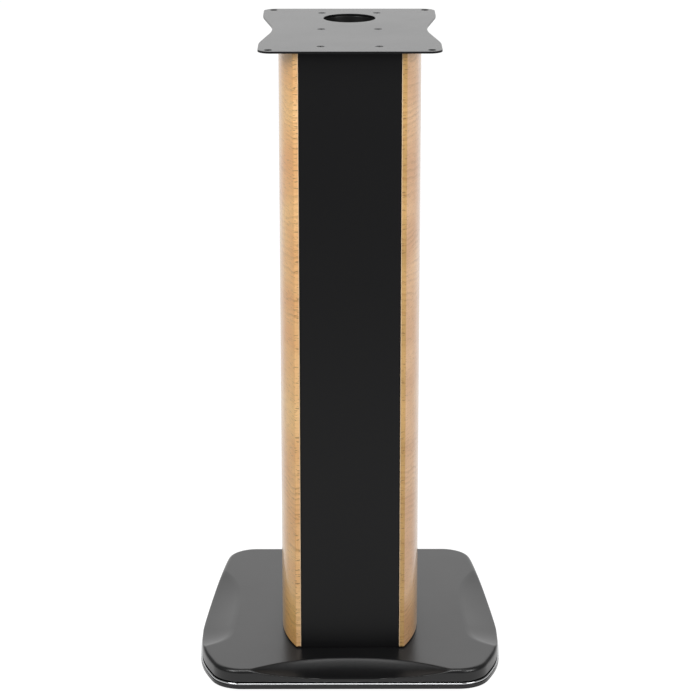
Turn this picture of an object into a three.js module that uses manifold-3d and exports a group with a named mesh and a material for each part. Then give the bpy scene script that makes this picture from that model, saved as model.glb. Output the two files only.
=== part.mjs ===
// Speaker stand: a hollow column of two bowed wood sides and two black boards, on a low
// lacquered base with scooped edges, under a thin waisted steel plate that carries the speaker.
// Millimetres, +Z up, front towards -Y. The origin is on the floor, under the centre of the base.

import * as THREE from 'three';
import { mergeVertices } from 'three/addons/utils/BufferGeometryUtils.js';
import Module from 'manifold-3d';

const wasm = await Module();
wasm.setup();

// ---------------------------------------------------------------- driving dimensions

// Clearances
const seatGap = 0.3; // between faces that rest on each other
const boreGap = 0.35; // around a pin, shank or head in its hole
const through = 2; // how far a cutter runs past the face that it opens
const samePoint = 1e-4; // outline points closer than this are one point

// Heights, from the floor up
const footRise = 3; // floor to the underside of the base
const basePlateThickness = 4;
const trimThickness = 1.8;
const shadowGap = 1.0; // dark line between the bright trim and the slab
const slabThickness = 14.8;
const columnHeight = 585.3;
const topPlateThickness = 2;

// Base outline, seen from above
const baseHalfDepth = 164.5;
const baseFrontHalf = 103.8; // where the straight front edge ends
const baseRearHalf = 98.6; // where the straight rear edge ends
const baseCornerRadius = 31.3;
const frontCornerSweep = 68; // degrees of the front corner arc
const rearCornerSweep = 78; // degrees of the rear corner arc
const baseWidestHalf = 146.9;
const baseWidestY = -53.6; // the base is widest ahead of its middle and narrows to the rear
const frontCornerPull = 0.358; // shares of the side's length that its curve leaves straight
const frontSidePull = 0.53;
const rearSidePull = 0.127;
const basePlateEdge = 0.5; // small chamfer on the steel plate

// Slab
const slabInset = 1.1; // slab wall behind the edge of the plate below it
const slabDraft = 0.5; // how far the wall leans in from bottom to top
const slabFillet = 2.6;
const trimWidth = 12;
const shadowDepth = 2.2;
// A scoop is deepest at the slab's wall and rises inwards to the top. Towards its ends the
// depth and the reach run out, each with its own power of the length.
const frontScoop = { halfLength: 99, reach: 30, depth: 8.6, fall: 3, taper: 2.3 };
const sideScoop = { halfLength: 102, reach: 39, depth: 4.6, fall: 4, taper: 2 };
const scoopOutset = 4; // a scoop's cutter starts this far outside the wall
const scoopLift = 1; // and ends this far above the slab's top
const scoopPoint = 0.5; // width that is left of the cutter at its ends
const scoopSections = 22;
const scoopSteps = 7; // facets across a scoop

// Column
const columnHalfDepth = 109;
const sidePanelThickness = 8;
const sideWidestHalf = 66.9; // half of the column's width, over the wood
const sideBowRadius = 171; // bow of the wood, front and rear
const sideFlatHalf = 40; // the bow starts this far from the middle
const woodArris = 0.6; // chamfer on the wood's sharp edges
const woodLand = 4.8; // width of the wood's flat front edge
const boardThickness = 9; // black front and rear boards
const boardRecess = 1; // board's face behind the wood's edge
const blockHeight = 30;
const battenWidth = 16;
const battenDepth = 14;

// Top plate
const plateHalfWidth = 84.45;
const plateHalfDepth = 119.2;
const plateCornerRadius = 12;
const plateEdge = 0.4; // small round on the steel's edge
const waistDepth = 10.8; // how far the sides draw in at the middle
const waistEndY = 74; // where the side starts to draw in
const waistBottomY = 22; // where the slope turns into the hollow
const waistSlope = 0.167;
const cornerHoleSide = 9.75; // from the plate's widest side
const cornerHoleEnd = 8.3; // from the plate's front and rear
const cornerHoleRadius = 3.5;
const plateScrewX = 26.9;
const plateScrewInset = 16.2; // from the column's front and rear

// Cable way
const cableHoleRadius = 25.2;
const cableHoleY = 63.2;
const sleeveWall = 1.5;
const sleeveTail = 6; // how far the sleeve hangs below the block
const outletHalfWidth = 26;
const outletHalfHeight = 12;
const outletRise = 30; // centre of the outlet above the bottom block
const bushWall = 1.6;
const bushLip = 2.4;
const bushLipThickness = 1.4;

// Fasteners
const plateScrew = { headRadius: 3.3, shankRadius: 1.75, headDepth: 1.55, bite: 22 };
const slabScrew = { headRadius: 4, shankRadius: 2, headDepth: 2, bite: 10 };
const columnBolt = { headRadius: 6, shankRadius: 3, headDepth: 3, bite: 18 };
const headRim = 0.25; // straight rim of a countersunk head
const headSink = 0.15; // a head sits this far under the plate's face
const insertLength = 20;
const insertWall = 2;
const columnBoltX = 30;
const columnBoltInset = 31; // from the column's front and rear
const slabScrewX = 62; // front and rear pairs
const slabScrewY = 46; // side pairs
const scoopMargin = 6; // slab screws stay this far inside the scoops

// Levelling feet
const footEndInset = 37; // from the base's front and rear
const footSideInset = 32; // from the slab's side
const footTravel = 6; // how far a foot winds out
const studGrip = 5; // stud left in the nut when the foot is wound out
const studRadius = 4;
const studPoint = 0.8;
const discRadius = 11;
const padChamfer = 0.5;
const discThickness = 1.3;
const padWall = 1.5;
const padFloor = 1;
const nutFlangeRadius = 10.5;
const nutFlangeThickness = 1.5;
const nutBarrelRadius = 5.6;
const nutBarrelLength = 7;

// ---------------------------------------------------------------- derived levels

const basePlateBottom = footRise;
const basePlateTop = basePlateBottom + basePlateThickness;
const trimBottom = basePlateTop + seatGap;
const trimTop = trimBottom + trimThickness;
const slabBottom = basePlateTop + seatGap;
const slabTop = slabBottom + slabThickness;
const columnBottom = slabTop + seatGap;
const columnTop = columnBottom + columnHeight;
const topPlateBottom = columnTop + seatGap;
const topPlateTop = topPlateBottom + topPlateThickness;
const bottomBlockTop = columnBottom + blockHeight;
const topBlockBottom = columnTop - blockHeight;
const woodEdgeX = bowAt(columnHalfDepth, 0);
const boardHalfWidth = woodEdgeX - woodLand - seatGap;
const boardFace = columnHalfDepth - boardRecess;
const boardBack = boardFace - boardThickness;
const blockHalfDepth = boardBack - seatGap;
const sleeveOuterRadius = cableHoleRadius + sleeveWall;
const studBore = studRadius + boreGap;
const studTop = slabBottom + studGrip + footTravel;
const outletZ = bottomBlockTop + outletRise;
const columnBoltLength = columnBottom + columnBolt.bite - basePlateBottom - headSink;
const slabScrewLength = basePlateThickness + slabScrew.bite;
const plateScrewLength = topPlateThickness + plateScrew.bite;

// ---------------------------------------------------------------- geometry helpers

function degrees(angle) {
  return (angle * Math.PI) / 180;
}

function toSolid(geometry) {
  const bare = geometry.clone();
  bare.deleteAttribute('normal');
  bare.deleteAttribute('uv');
  const merged = mergeVertices(bare, 1e-5);
  const vertProperties = new Float32Array(merged.attributes.position.array);
  const triVerts = new Uint32Array(merged.index.array);
  return new wasm.Manifold(new wasm.Mesh({ numProp: 3, vertProperties, triVerts }));
}

function toGeometry(solid) {
  const result = solid.getMesh();
  const geometry = new THREE.BufferGeometry();
  const position = new THREE.BufferAttribute(new Float32Array(result.vertProperties), 3);
  geometry.setAttribute('position', position);
  geometry.setIndex(new THREE.BufferAttribute(new Uint32Array(result.triVerts), 1));
  const flat = geometry.toNonIndexed();
  flat.computeVertexNormals();
  return flat;
}

function cutAll(geometry, cutters) {
  let solid = toSolid(geometry);
  for (const cutter of cutters) {
    solid = solid.subtract(toSolid(cutter));
  }
  return toGeometry(solid);
}

// Outward direction of each point of a counter-clockwise outline, long enough that a step
// along it moves both neighbouring edges by one unit.
function outwardSteps(points) {
  return points.map((point, i) => {
    const before = points[(i + points.length - 1) % points.length];
    const after = points[(i + 1) % points.length];
    const edgeIn = point.clone().sub(before).normalize();
    const edgeOut = after.clone().sub(point).normalize();
    const sum = new THREE.Vector2(edgeIn.y + edgeOut.y, -edgeIn.x - edgeOut.x);
    const lengthSquared = sum.lengthSq();
    return sum.multiplyScalar(2 / lengthSquared);
  });
}

function insetOutline(points, inset) {
  const steps = outwardSteps(points);
  return points.map((point, i) => point.clone().addScaledVector(steps[i], -inset));
}

// Closed body through copies of one outline, each at its own height and inset.
function loft(points, levels) {
  const vertices = [];
  const faces = [];
  const count = points.length;
  for (const level of levels) {
    for (const point of insetOutline(points, level.inset)) {
      vertices.push(point.x, point.y, level.z);
    }
  }
  for (let ring = 0; ring + 1 < levels.length; ring += 1) {
    for (let i = 0; i < count; i += 1) {
      const next = (i + 1) % count;
      const low = ring * count;
      const high = low + count;
      faces.push(low + i, low + next, high + next);
      faces.push(low + i, high + next, high + i);
    }
  }
  const topStart = (levels.length - 1) * count;
  const cap = THREE.ShapeUtils.triangulateShape(insetOutline(points, levels[0].inset), []);
  for (const [a, b, c] of cap) {
    faces.push(a, c, b);
    faces.push(topStart + a, topStart + b, topStart + c);
  }
  const geometry = new THREE.BufferGeometry();
  geometry.setAttribute('position', new THREE.Float32BufferAttribute(vertices, 3));
  geometry.setIndex(faces);
  return geometry;
}

// Outline of a shape without its repeated last point.
function outlineOf(shape, divisions) {
  const points = shape.getPoints(divisions);
  if (points[0].distanceTo(points[points.length - 1]) < 1e-6) {
    points.pop();
  }
  return points.filter((point, i) => {
    return point.distanceTo(points[(i + 1) % points.length]) > samePoint;
  });
}

function prism(points, bottom, top) {
  return loft(points, [{ z: bottom, inset: 0 }, { z: top, inset: 0 }]);
}

// Upright round cutter or pin between two heights, with a radius at each end.
function pin(x, y, bottom, top, bottomRadius, topRadius, sides) {
  const geometry = new THREE.CylinderGeometry(topRadius, bottomRadius, top - bottom, sides);
  geometry.rotateX(Math.PI / 2);
  geometry.translate(x, y, (bottom + top) / 2);
  return geometry;
}

// Turned piece from [radius, height] pairs; the profile runs counter-clockwise.
function turned(profile, sides) {
  const points = profile.map(([radius, height]) => new THREE.Vector2(radius, height));
  const geometry = new THREE.LatheGeometry(points, sides);
  geometry.rotateX(Math.PI / 2);
  return geometry;
}

// Flat ring or tube as a turned piece.
function tube(innerRadius, outerRadius, bottom, top, sides) {
  return turned([
    [innerRadius, bottom],
    [outerRadius, bottom],
    [outerRadius, top],
    [innerRadius, top],
    [innerRadius, bottom],
  ], sides);
}

// ---------------------------------------------------------------- outlines

// Right half of the base from the middle of the front to the middle of the rear.
function baseOutline() {
  const sweepFront = degrees(frontCornerSweep);
  const sweepRear = degrees(rearCornerSweep);
  const frontY = baseCornerRadius - baseHalfDepth;
  const rearY = baseHalfDepth - baseCornerRadius;
  const frontEnd = new THREE.Vector2(
    baseFrontHalf + baseCornerRadius * Math.sin(sweepFront),
    frontY - baseCornerRadius * Math.cos(sweepFront),
  );
  const rearEnd = new THREE.Vector2(
    baseRearHalf + baseCornerRadius * Math.sin(sweepRear),
    rearY + baseCornerRadius * Math.cos(sweepRear),
  );
  const frontLength = baseWidestY - frontEnd.y;
  const frontRun = frontLength * frontCornerPull;
  const rearRun = (rearEnd.y - baseWidestY) * rearSidePull;
  const half = new THREE.Path();
  half.moveTo(baseFrontHalf, -baseHalfDepth);
  half.absarc(baseFrontHalf, frontY, baseCornerRadius, -Math.PI / 2, sweepFront - Math.PI / 2);
  half.bezierCurveTo(
    frontEnd.x + frontRun * Math.cos(sweepFront),
    frontEnd.y + frontRun * Math.sin(sweepFront),
    baseWidestHalf,
    baseWidestY - frontLength * frontSidePull,
    baseWidestHalf,
    baseWidestY,
  );
  half.bezierCurveTo(
    baseWidestHalf,
    baseWidestY + rearRun,
    rearEnd.x + rearRun * Math.cos(sweepRear),
    rearEnd.y - rearRun * Math.sin(sweepRear),
    rearEnd.x,
    rearEnd.y,
  );
  half.absarc(baseRearHalf, rearY, baseCornerRadius, Math.PI / 2 - sweepRear, Math.PI / 2);
  return mirrored(half.getPoints(7));
}

// Half an outline on the right, running front to rear, closed with its mirror image.
function mirrored(half) {
  const clean = half.filter((point, i) => {
    return i === 0 || point.distanceTo(half[i - 1]) > samePoint;
  });
  const other = clean.map((point) => new THREE.Vector2(-point.x, point.y)).reverse();
  return [...clean, ...other];
}

// Half width of an outline at one depth, read along its right side.
function halfWidthAt(points, y) {
  for (let i = 0; i < points.length; i += 1) {
    const here = points[i];
    const next = points[(i + 1) % points.length];
    if (here.x > 0 && next.x > 0 && here.y <= y && next.y > y) {
      const share = (y - here.y) / (next.y - here.y);
      return here.x + share * (next.x - here.x);
    }
  }
  return baseWidestHalf;
}

// Half of the top plate's outline, with the sides drawn in to a shallow waist.
function topPlateOutline() {
  const cornerY = plateHalfDepth - plateCornerRadius;
  const cornerX = plateHalfWidth - plateCornerRadius;
  const waistX = plateHalfWidth - waistDepth;
  const bottomX = waistX + (waistBottomY * waistSlope) / 2;
  const blend = 8;
  const half = new THREE.Path();
  half.moveTo(cornerX, -plateHalfDepth);
  half.absarc(cornerX, -cornerY, plateCornerRadius, -Math.PI / 2, 0);
  half.lineTo(plateHalfWidth, -waistEndY - blend);
  half.quadraticCurveTo(
    plateHalfWidth,
    -waistEndY,
    plateHalfWidth - blend * waistSlope,
    -waistEndY + blend,
  );
  half.lineTo(bottomX, -waistBottomY);
  half.quadraticCurveTo(bottomX - waistBottomY * waistSlope, 0, bottomX, waistBottomY);
  half.lineTo(plateHalfWidth - blend * waistSlope, waistEndY - blend);
  half.quadraticCurveTo(plateHalfWidth, waistEndY, plateHalfWidth, waistEndY + blend);
  half.lineTo(plateHalfWidth, cornerY);
  half.absarc(cornerX, cornerY, plateCornerRadius, 0, Math.PI / 2);
  return mirrored(half.getPoints(6));
}

// The wood's outer face is flat in the middle and bows in to the front and the rear. This is
// its distance from the middle plane, less an offset measured square to the face.
function bowAt(y, offset) {
  const past = Math.max(Math.abs(y) - sideFlatHalf, 0);
  const radius = sideBowRadius - offset;
  const centre = sideWidestHalf - sideBowRadius;
  return centre + Math.sqrt(radius * radius - past * past);
}

function spread(from, to, steps) {
  return Array.from({ length: steps + 1 }, (_, i) => from + ((to - from) * i) / steps);
}

// Section of the right-hand wood panel, counter-clockwise from the front edge's inner arris.
function sidePanelOutline() {
  const inner = boardHalfWidth + seatGap;
  const end = columnHalfDepth;
  const bows = 9;
  const outerFront = spread(-end + woodArris, -sideFlatHalf, bows);
  const outerRear = spread(sideFlatHalf, end - woodArris, bows);
  const hollow = boardBack;
  const innerFront = spread(-hollow, -sideFlatHalf, bows);
  const innerRear = spread(sideFlatHalf, hollow, bows);
  const points = [[inner, -end + woodArris], [inner + woodArris, -end]];
  points.push([woodEdgeX - woodArris, -end]);
  for (const y of [...outerFront, ...outerRear]) {
    points.push([bowAt(y, 0), y]);
  }
  points.push([woodEdgeX - woodArris, end]);
  points.push([inner + woodArris, end], [inner, end - woodArris]);
  for (const y of [...innerFront, ...innerRear].reverse()) {
    points.push([Math.max(bowAt(y, sidePanelThickness), inner), y]);
  }
  return points.map(([x, y]) => new THREE.Vector2(x, y));
}

// Inside of the column between two depths, on the right, clear of the wood.
function insideEdge(fromY, toY, steps) {
  const clear = sidePanelThickness + seatGap;
  const limit = boardHalfWidth;
  return spread(fromY, toY, steps).map((y) => {
    return new THREE.Vector2(Math.max(bowAt(y, clear), limit), y);
  });
}

function blockOutline() {
  return mirrored([
    ...insideEdge(-blockHalfDepth, -sideFlatHalf, 6),
    ...insideEdge(sideFlatHalf, blockHalfDepth, 6),
  ]);
}

function stadium(halfWidth, halfHeight) {
  const shape = new THREE.Shape();
  const flat = halfWidth - halfHeight;
  shape.moveTo(-flat, -halfHeight);
  shape.lineTo(flat, -halfHeight);
  shape.absarc(flat, 0, halfHeight, -Math.PI / 2, Math.PI / 2);
  shape.lineTo(-flat, halfHeight);
  shape.absarc(-flat, 0, halfHeight, Math.PI / 2, (3 * Math.PI) / 2);
  return outlineOf(shape, 10);
}

const baseEdge = baseOutline();
const slabEdge = insetOutline(baseEdge, slabInset);

// ---------------------------------------------------------------- places

const sides = [-1, 1];

// One place on each side of the middle plane, for each row.
function pairs(rows) {
  return rows.flatMap(([x, y]) => sides.map((side) => [side * x, y]));
}

const footY = baseHalfDepth - footEndInset;
const footPlaces = pairs([
  [halfWidthAt(slabEdge, -footY) - footSideInset, -footY],
  [halfWidthAt(slabEdge, footY) - footSideInset, footY],
]);

const columnBoltY = columnHalfDepth - columnBoltInset;
const columnBoltPlaces = pairs([[columnBoltX, -columnBoltY], [columnBoltX, columnBoltY]]);

const plateScrewY = columnHalfDepth - plateScrewInset;
const plateScrewPlaces = pairs([-plateScrewY, 0, plateScrewY].map((y) => [plateScrewX, y]));

const cornerHoleX = plateHalfWidth - cornerHoleSide;
const cornerHoleY = plateHalfDepth - cornerHoleEnd;
const cornerHolePlaces = pairs([[cornerHoleX, -cornerHoleY], [cornerHoleX, cornerHoleY]]);

const slabScrewInset = frontScoop.reach + scoopMargin;
const sideScrewInset = sideScoop.reach + scoopMargin;
const slabScrewPlaces = pairs([
  [slabScrewX, slabInset + slabScrewInset - baseHalfDepth],
  [halfWidthAt(slabEdge, -slabScrewY) - sideScrewInset, -slabScrewY],
  [halfWidthAt(slabEdge, slabScrewY) - sideScrewInset, slabScrewY],
  [slabScrewX, baseHalfDepth - slabInset - slabScrewInset],
]);

// ---------------------------------------------------------------- fasteners

// Countersunk screw, head down, with its flat face at height zero and its tip upwards.
function screwGeometry(screw, length, sidesCount) {
  return turned([
    [0, 0],
    [screw.headRadius, 0],
    [screw.headRadius, headRim],
    [screw.shankRadius, screw.headDepth],
    [screw.shankRadius, length - screw.shankRadius],
    [0, length],
  ], sidesCount);
}

// Cutter for a countersunk screw that goes up through a plate: head, cone and bore in one
// turned piece. Height zero is the plate's face, where the head goes in.
function screwSeat(screw, plateThickness, sidesCount) {
  const wide = screw.headRadius + boreGap;
  const narrow = screw.shankRadius + boreGap;
  const coneStart = headSink + headRim;
  return turned([
    [0, -through],
    [wide, -through],
    [wide, coneStart],
    [narrow, coneStart + screw.headDepth - headRim],
    [narrow, plateThickness + through],
    [0, plateThickness + through],
  ], sidesCount);
}

function flipped(geometry) {
  return geometry.clone().rotateX(Math.PI);
}

// ---------------------------------------------------------------- pieces

function basePlate() {
  const body = loft(baseEdge, [
    { z: basePlateBottom, inset: basePlateEdge },
    { z: basePlateBottom + basePlateEdge, inset: 0 },
    { z: basePlateTop - basePlateEdge, inset: 0 },
    { z: basePlateTop, inset: basePlateEdge },
  ]);
  const cutters = [];
  for (const [x, y] of columnBoltPlaces) {
    const seat = screwSeat(columnBolt, basePlateThickness, 16);
    cutters.push(seat.translate(x, y, basePlateBottom));
  }
  for (const [x, y] of slabScrewPlaces) {
    const seat = screwSeat(slabScrew, basePlateThickness, 12);
    cutters.push(seat.translate(x, y, basePlateBottom));
  }
  const low = basePlateBottom - through;
  for (const [x, y] of footPlaces) {
    cutters.push(pin(x, y, low, basePlateTop + through, studBore, studBore, 16));
  }
  return cutAll(body, cutters);
}

// Bright strip that shows as a line all round the base.
function trimRing() {
  const edge = 0.35;
  const body = loft(baseEdge, [
    { z: trimBottom, inset: edge },
    { z: trimBottom + edge, inset: 0 },
    { z: trimTop - edge, inset: 0 },
    { z: trimTop, inset: edge },
  ]);
  const inner = insetOutline(baseEdge, trimWidth);
  return cutAll(body, [prism(inner, trimBottom - through, trimTop + through)]);
}

// One section of a scoop's cutter, as [distance inwards from the wall, height] pairs. Its floor
// is a parabola that starts level at the wall and leaves the slab's top at the scoop's lip.
function scoopSection(scoop, share) {
  const atEnd = Math.abs(share) > 1 - 1e-9;
  const reach = scoop.reach * (1 - Math.abs(share) ** scoop.taper);
  const depth = atEnd ? -scoopLift / 2 : scoop.depth * (1 - Math.abs(share) ** scoop.fall);
  const rise = depth + scoopLift;
  const width = atEnd ? scoopPoint : reach * Math.sqrt(rise / depth);
  const section = [[-scoopOutset, scoopLift], [-scoopOutset, -depth]];
  for (let i = 0; i <= scoopSteps; i += 1) {
    const part = i / scoopSteps;
    section.push([width * part, rise * part ** 2 - depth]);
  }
  return section;
}

// Long hollow across the top edge of the slab. The wall's point and the way inwards are asked
// for at each section; turn is 1 where the sections run counter-clockwise round their path.
function scoopCutter(scoop, wallAt, inward, turn) {
  const vertices = [];
  const faces = [];
  const ring = scoopSteps + 3;
  for (let i = 0; i <= scoopSections; i += 1) {
    const share = -Math.cos((Math.PI * i) / scoopSections);
    const wall = wallAt(share * scoop.halfLength);
    for (const [depth, height] of scoopSection(scoop, share)) {
      const point = wall.clone().addScaledVector(inward, depth);
      vertices.push(point.x, point.y, slabTop + height);
    }
  }
  const add = (a, b, c) => (turn > 0 ? faces.push(a, b, c) : faces.push(a, c, b));
  for (let i = 0; i < scoopSections; i += 1) {
    for (let k = 0; k < ring; k += 1) {
      const low = i * ring + k;
      const next = i * ring + ((k + 1) % ring);
      add(low, next, next + ring);
      add(low, next + ring, low + ring);
    }
  }
  const last = scoopSections * ring;
  for (let k = 1; k + 1 < ring; k += 1) {
    add(0, k + 1, k);
    add(last, last + k, last + k + 1);
  }
  const geometry = new THREE.BufferGeometry();
  geometry.setAttribute('position', new THREE.Float32BufferAttribute(vertices, 3));
  geometry.setIndex(faces);
  return geometry;
}

// A wide scoop in front and a shallow one on each side, each along the slab's own wall.
function scoopCutters() {
  const frontWall = (along) => new THREE.Vector2(along, slabInset - baseHalfDepth);
  const cutters = [scoopCutter(frontScoop, frontWall, new THREE.Vector2(0, 1), 1)];
  for (const side of sides) {
    const sideWall = (along) => new THREE.Vector2(side * halfWidthAt(slabEdge, along), along);
    cutters.push(scoopCutter(sideScoop, sideWall, new THREE.Vector2(-side, 0), side));
  }
  return cutters;
}

function baseSlab() {
  const rebate = trimWidth + seatGap - slabInset;
  const grooveBottom = trimTop + seatGap;
  const wallBottom = trimTop + shadowGap;
  const levels = [
    { z: slabBottom, inset: rebate },
    { z: grooveBottom, inset: rebate },
    { z: grooveBottom, inset: shadowDepth },
    { z: wallBottom, inset: shadowDepth },
    { z: wallBottom, inset: 0 },
    { z: slabTop - slabFillet, inset: slabDraft },
  ];
  const filletSteps = 3;
  for (let i = 1; i <= filletSteps; i += 1) {
    const angle = degrees((90 * i) / filletSteps);
    levels.push({
      z: slabTop - slabFillet + slabFillet * Math.sin(angle),
      inset: slabDraft + slabFillet * (1 - Math.cos(angle)),
    });
  }
  const cutters = scoopCutters();
  const low = slabBottom - through;
  const flangeBore = nutFlangeRadius + boreGap;
  const flangeTop = slabBottom + nutFlangeThickness + seatGap;
  const barrelBore = nutBarrelRadius + boreGap;
  const barrelTop = slabBottom + nutFlangeThickness + nutBarrelLength;
  const boreTop = Math.max(barrelTop, studTop) + seatGap;
  for (const [x, y] of footPlaces) {
    cutters.push(pin(x, y, low, flangeTop, flangeBore, flangeBore, 16));
    cutters.push(pin(x, y, low, boreTop, barrelBore, barrelBore, 16));
  }
  const boltBore = columnBolt.shankRadius + boreGap;
  for (const [x, y] of columnBoltPlaces) {
    cutters.push(pin(x, y, low, slabTop + through, boltBore, boltBore, 12));
  }
  const screwBore = slabScrew.shankRadius + boreGap;
  const screwTop = basePlateBottom + headSink + slabScrewLength + seatGap;
  for (const [x, y] of slabScrewPlaces) {
    cutters.push(pin(x, y, low, screwTop, screwBore, screwBore, 10));
  }
  return cutAll(loft(slabEdge, levels), cutters);
}

// Block that closes the column's lower end and takes the bolts from below.
function bottomBlock() {
  const bore = columnBolt.shankRadius + insertWall + boreGap;
  const low = columnBottom - through;
  const boltTip = basePlateBottom + headSink + columnBoltLength;
  const boreTop = Math.max(boltTip, columnBottom + seatGap + insertLength) + seatGap;
  const cutters = columnBoltPlaces.map(([x, y]) => pin(x, y, low, boreTop, bore, bore, 12));
  return cutAll(prism(blockOutline(), columnBottom, bottomBlockTop), cutters);
}

// Block under the top plate, bored for the cable sleeve and the plate's screws.
function topBlock() {
  const sleeveBore = sleeveOuterRadius + boreGap;
  const high = columnTop + through;
  const cutters = [
    pin(0, cableHoleY, topBlockBottom - through, high, sleeveBore, sleeveBore, 40),
  ];
  const screwBore = plateScrew.shankRadius + boreGap;
  const screwBottom = topPlateTop - headSink - plateScrewLength - seatGap;
  for (const [x, y] of plateScrewPlaces) {
    cutters.push(pin(x, y, screwBottom, high, screwBore, screwBore, 10));
  }
  return cutAll(prism(blockOutline(), topBlockBottom, columnTop), cutters);
}

function boardGeometry() {
  const outline = mirrored([
    new THREE.Vector2(boardHalfWidth, boardBack),
    new THREE.Vector2(boardHalfWidth, boardFace),
  ]);
  return prism(outline, columnBottom, columnTop);
}

// Flat oval laid in the rear board's plane, from one depth to another.
function ovalAcross(halfWidth, halfHeight, fromY, toY) {
  const geometry = prism(stadium(halfWidth, halfHeight), 0, toY - fromY);
  geometry.rotateX(-Math.PI / 2);
  geometry.translate(0, fromY, outletZ);
  return geometry;
}

function rearBoard() {
  const wide = outletHalfWidth + bushWall + boreGap;
  const high = outletHalfHeight + bushWall + boreGap;
  const cutter = ovalAcross(wide, high, boardBack - through, boardFace + through);
  return cutAll(boardGeometry(), [cutter]);
}

// Lipped bush that lines the cable outlet.
function outletBush() {
  const lipY = boardFace + seatGap;
  const outerLip = ovalAcross(
    outletHalfWidth + bushWall + bushLip,
    outletHalfHeight + bushWall + bushLip,
    lipY,
    lipY + bushLipThickness,
  );
  const neck = ovalAcross(
    outletHalfWidth + bushWall,
    outletHalfHeight + bushWall,
    boardBack,
    lipY + bushLipThickness / 2,
  );
  const mouth = ovalAcross(
    outletHalfWidth,
    outletHalfHeight,
    boardBack - through,
    lipY + bushLipThickness + through,
  );
  return toGeometry(toSolid(outerLip).add(toSolid(neck)).subtract(toSolid(mouth)));
}

// Square batten glued into a corner of the column, on the right at the rear.
function battenOutline() {
  const back = blockHalfDepth;
  const front = back - battenDepth;
  const outer = insideEdge(front, back, 3);
  return [new THREE.Vector2(outer[0].x - battenWidth, front), ...outer,
    new THREE.Vector2(outer[0].x - battenWidth, back)];
}

function topPlate() {
  const body = loft(topPlateOutline(), [
    { z: topPlateBottom, inset: plateEdge },
    { z: topPlateBottom + plateEdge, inset: 0 },
    { z: topPlateTop - plateEdge, inset: 0 },
    { z: topPlateTop, inset: plateEdge },
  ]);
  const low = topPlateBottom - through;
  const high = topPlateTop + through;
  const cutters = [
    pin(0, cableHoleY, low, high, cableHoleRadius, cableHoleRadius, 48),
  ];
  for (const [x, y] of cornerHolePlaces) {
    cutters.push(pin(x, y, low, high, cornerHoleRadius, cornerHoleRadius, 16));
  }
  for (const [x, y] of plateScrewPlaces) {
    const seat = flipped(screwSeat(plateScrew, topPlateThickness, 14));
    cutters.push(seat.translate(x, y, topPlateTop));
  }
  return cutAll(body, cutters);
}

// Stud with a disc at its foot; height zero is the disc's underside.
function studGeometry() {
  const length = studTop - padFloor - seatGap;
  return turned([
    [0, 0],
    [discRadius, 0],
    [discRadius, discThickness],
    [studRadius, discThickness],
    [studRadius, length - studPoint],
    [studRadius - studPoint, length],
    [0, length],
  ], 14);
}

// Rubber cup that holds the disc and meets the floor.
function padGeometry() {
  const inner = discRadius + boreGap;
  const outer = inner + padWall;
  const rim = footRise - seatGap;
  return turned([
    [0, 0],
    [outer - padChamfer, 0],
    [outer, padChamfer],
    [outer, rim],
    [inner, rim],
    [inner, padFloor],
    [0, padFloor],
  ], 18);
}

// Flanged nut let into the slab from below; height zero is the flange's underside.
function footNutGeometry() {
  const height = nutFlangeThickness + nutBarrelLength;
  return turned([
    [studBore, 0],
    [nutFlangeRadius, 0],
    [nutFlangeRadius, nutFlangeThickness],
    [nutBarrelRadius, nutFlangeThickness],
    [nutBarrelRadius, height],
    [studBore, height],
    [studBore, 0],
  ], 14);
}

// ---------------------------------------------------------------- materials

function finish(color, roughness, metalness) {
  return new THREE.MeshStandardMaterial({ color, roughness, metalness });
}

const finishes = {
  plate: () => finish(0x1b1c1d, 0.32, 0.35),
  lacquer: () => finish(0x1a1b1c, 0.3, 0.1),
  board: () => finish(0x17181a, 0.42, 0.0),
  wood: () => finish(0xd9ab78, 0.45, 0.0),
  rawWood: () => finish(0xb89a72, 0.8, 0.0),
  chrome: () => finish(0xd9dcdf, 0.08, 1.0),
  steel: () => finish(0x8f9296, 0.35, 1.0),
  blackSteel: () => finish(0x24262a, 0.45, 0.8),
  brass: () => finish(0xb08d4a, 0.35, 1.0),
  rubber: () => finish(0x161616, 0.9, 0.0),
  plastic: () => finish(0x1d1e20, 0.5, 0.0),
};

// ---------------------------------------------------------------- assembly

const stand = new THREE.Group();
stand.name = 'speaker_stand';

function place(name, geometry, material, position = [0, 0, 0]) {
  const mesh = new THREE.Mesh(geometry, material);
  mesh.name = name;
  mesh.position.set(...position);
  stand.add(mesh);
  return mesh;
}

place('base_plate', basePlate(), finishes.plate());
place('trim_ring', trimRing(), finishes.chrome());
place('base_slab', baseSlab(), finishes.lacquer());
place('bottom_block', bottomBlock(), finishes.rawWood());
place('top_block', topBlock(), finishes.rawWood());
place('front_board', boardGeometry().rotateZ(Math.PI), finishes.board());
place('rear_board', rearBoard(), finishes.board());
place('outlet_bush', outletBush(), finishes.plastic());
place('top_plate', topPlate(), finishes.plate());

const sidePanel = prism(sidePanelOutline(), columnBottom, columnTop);
place('side_panel_right', sidePanel, finishes.wood());
place('side_panel_left', sidePanel.clone().rotateZ(Math.PI), finishes.wood());

// The battens stand between the blocks, one in each corner.
const battenBottom = bottomBlockTop + seatGap;
const battenTop = topBlockBottom - seatGap;
const mirrorX = new THREE.Matrix4().makeScale(-1, 1, 1);
const rightRear = battenOutline();
const leftRear = rightRear.map((point) => point.clone().setX(-point.x)).reverse();
const battens = {
  batten_rear_right: prism(rightRear, battenBottom, battenTop),
  batten_rear_left: prism(leftRear, battenBottom, battenTop),
  batten_front_left: prism(rightRear, battenBottom, battenTop).rotateZ(Math.PI),
  batten_front_right: prism(leftRear, battenBottom, battenTop).rotateZ(Math.PI),
};
for (const [name, geometry] of Object.entries(battens)) {
  place(name, geometry, finishes.rawWood());
}

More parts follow.
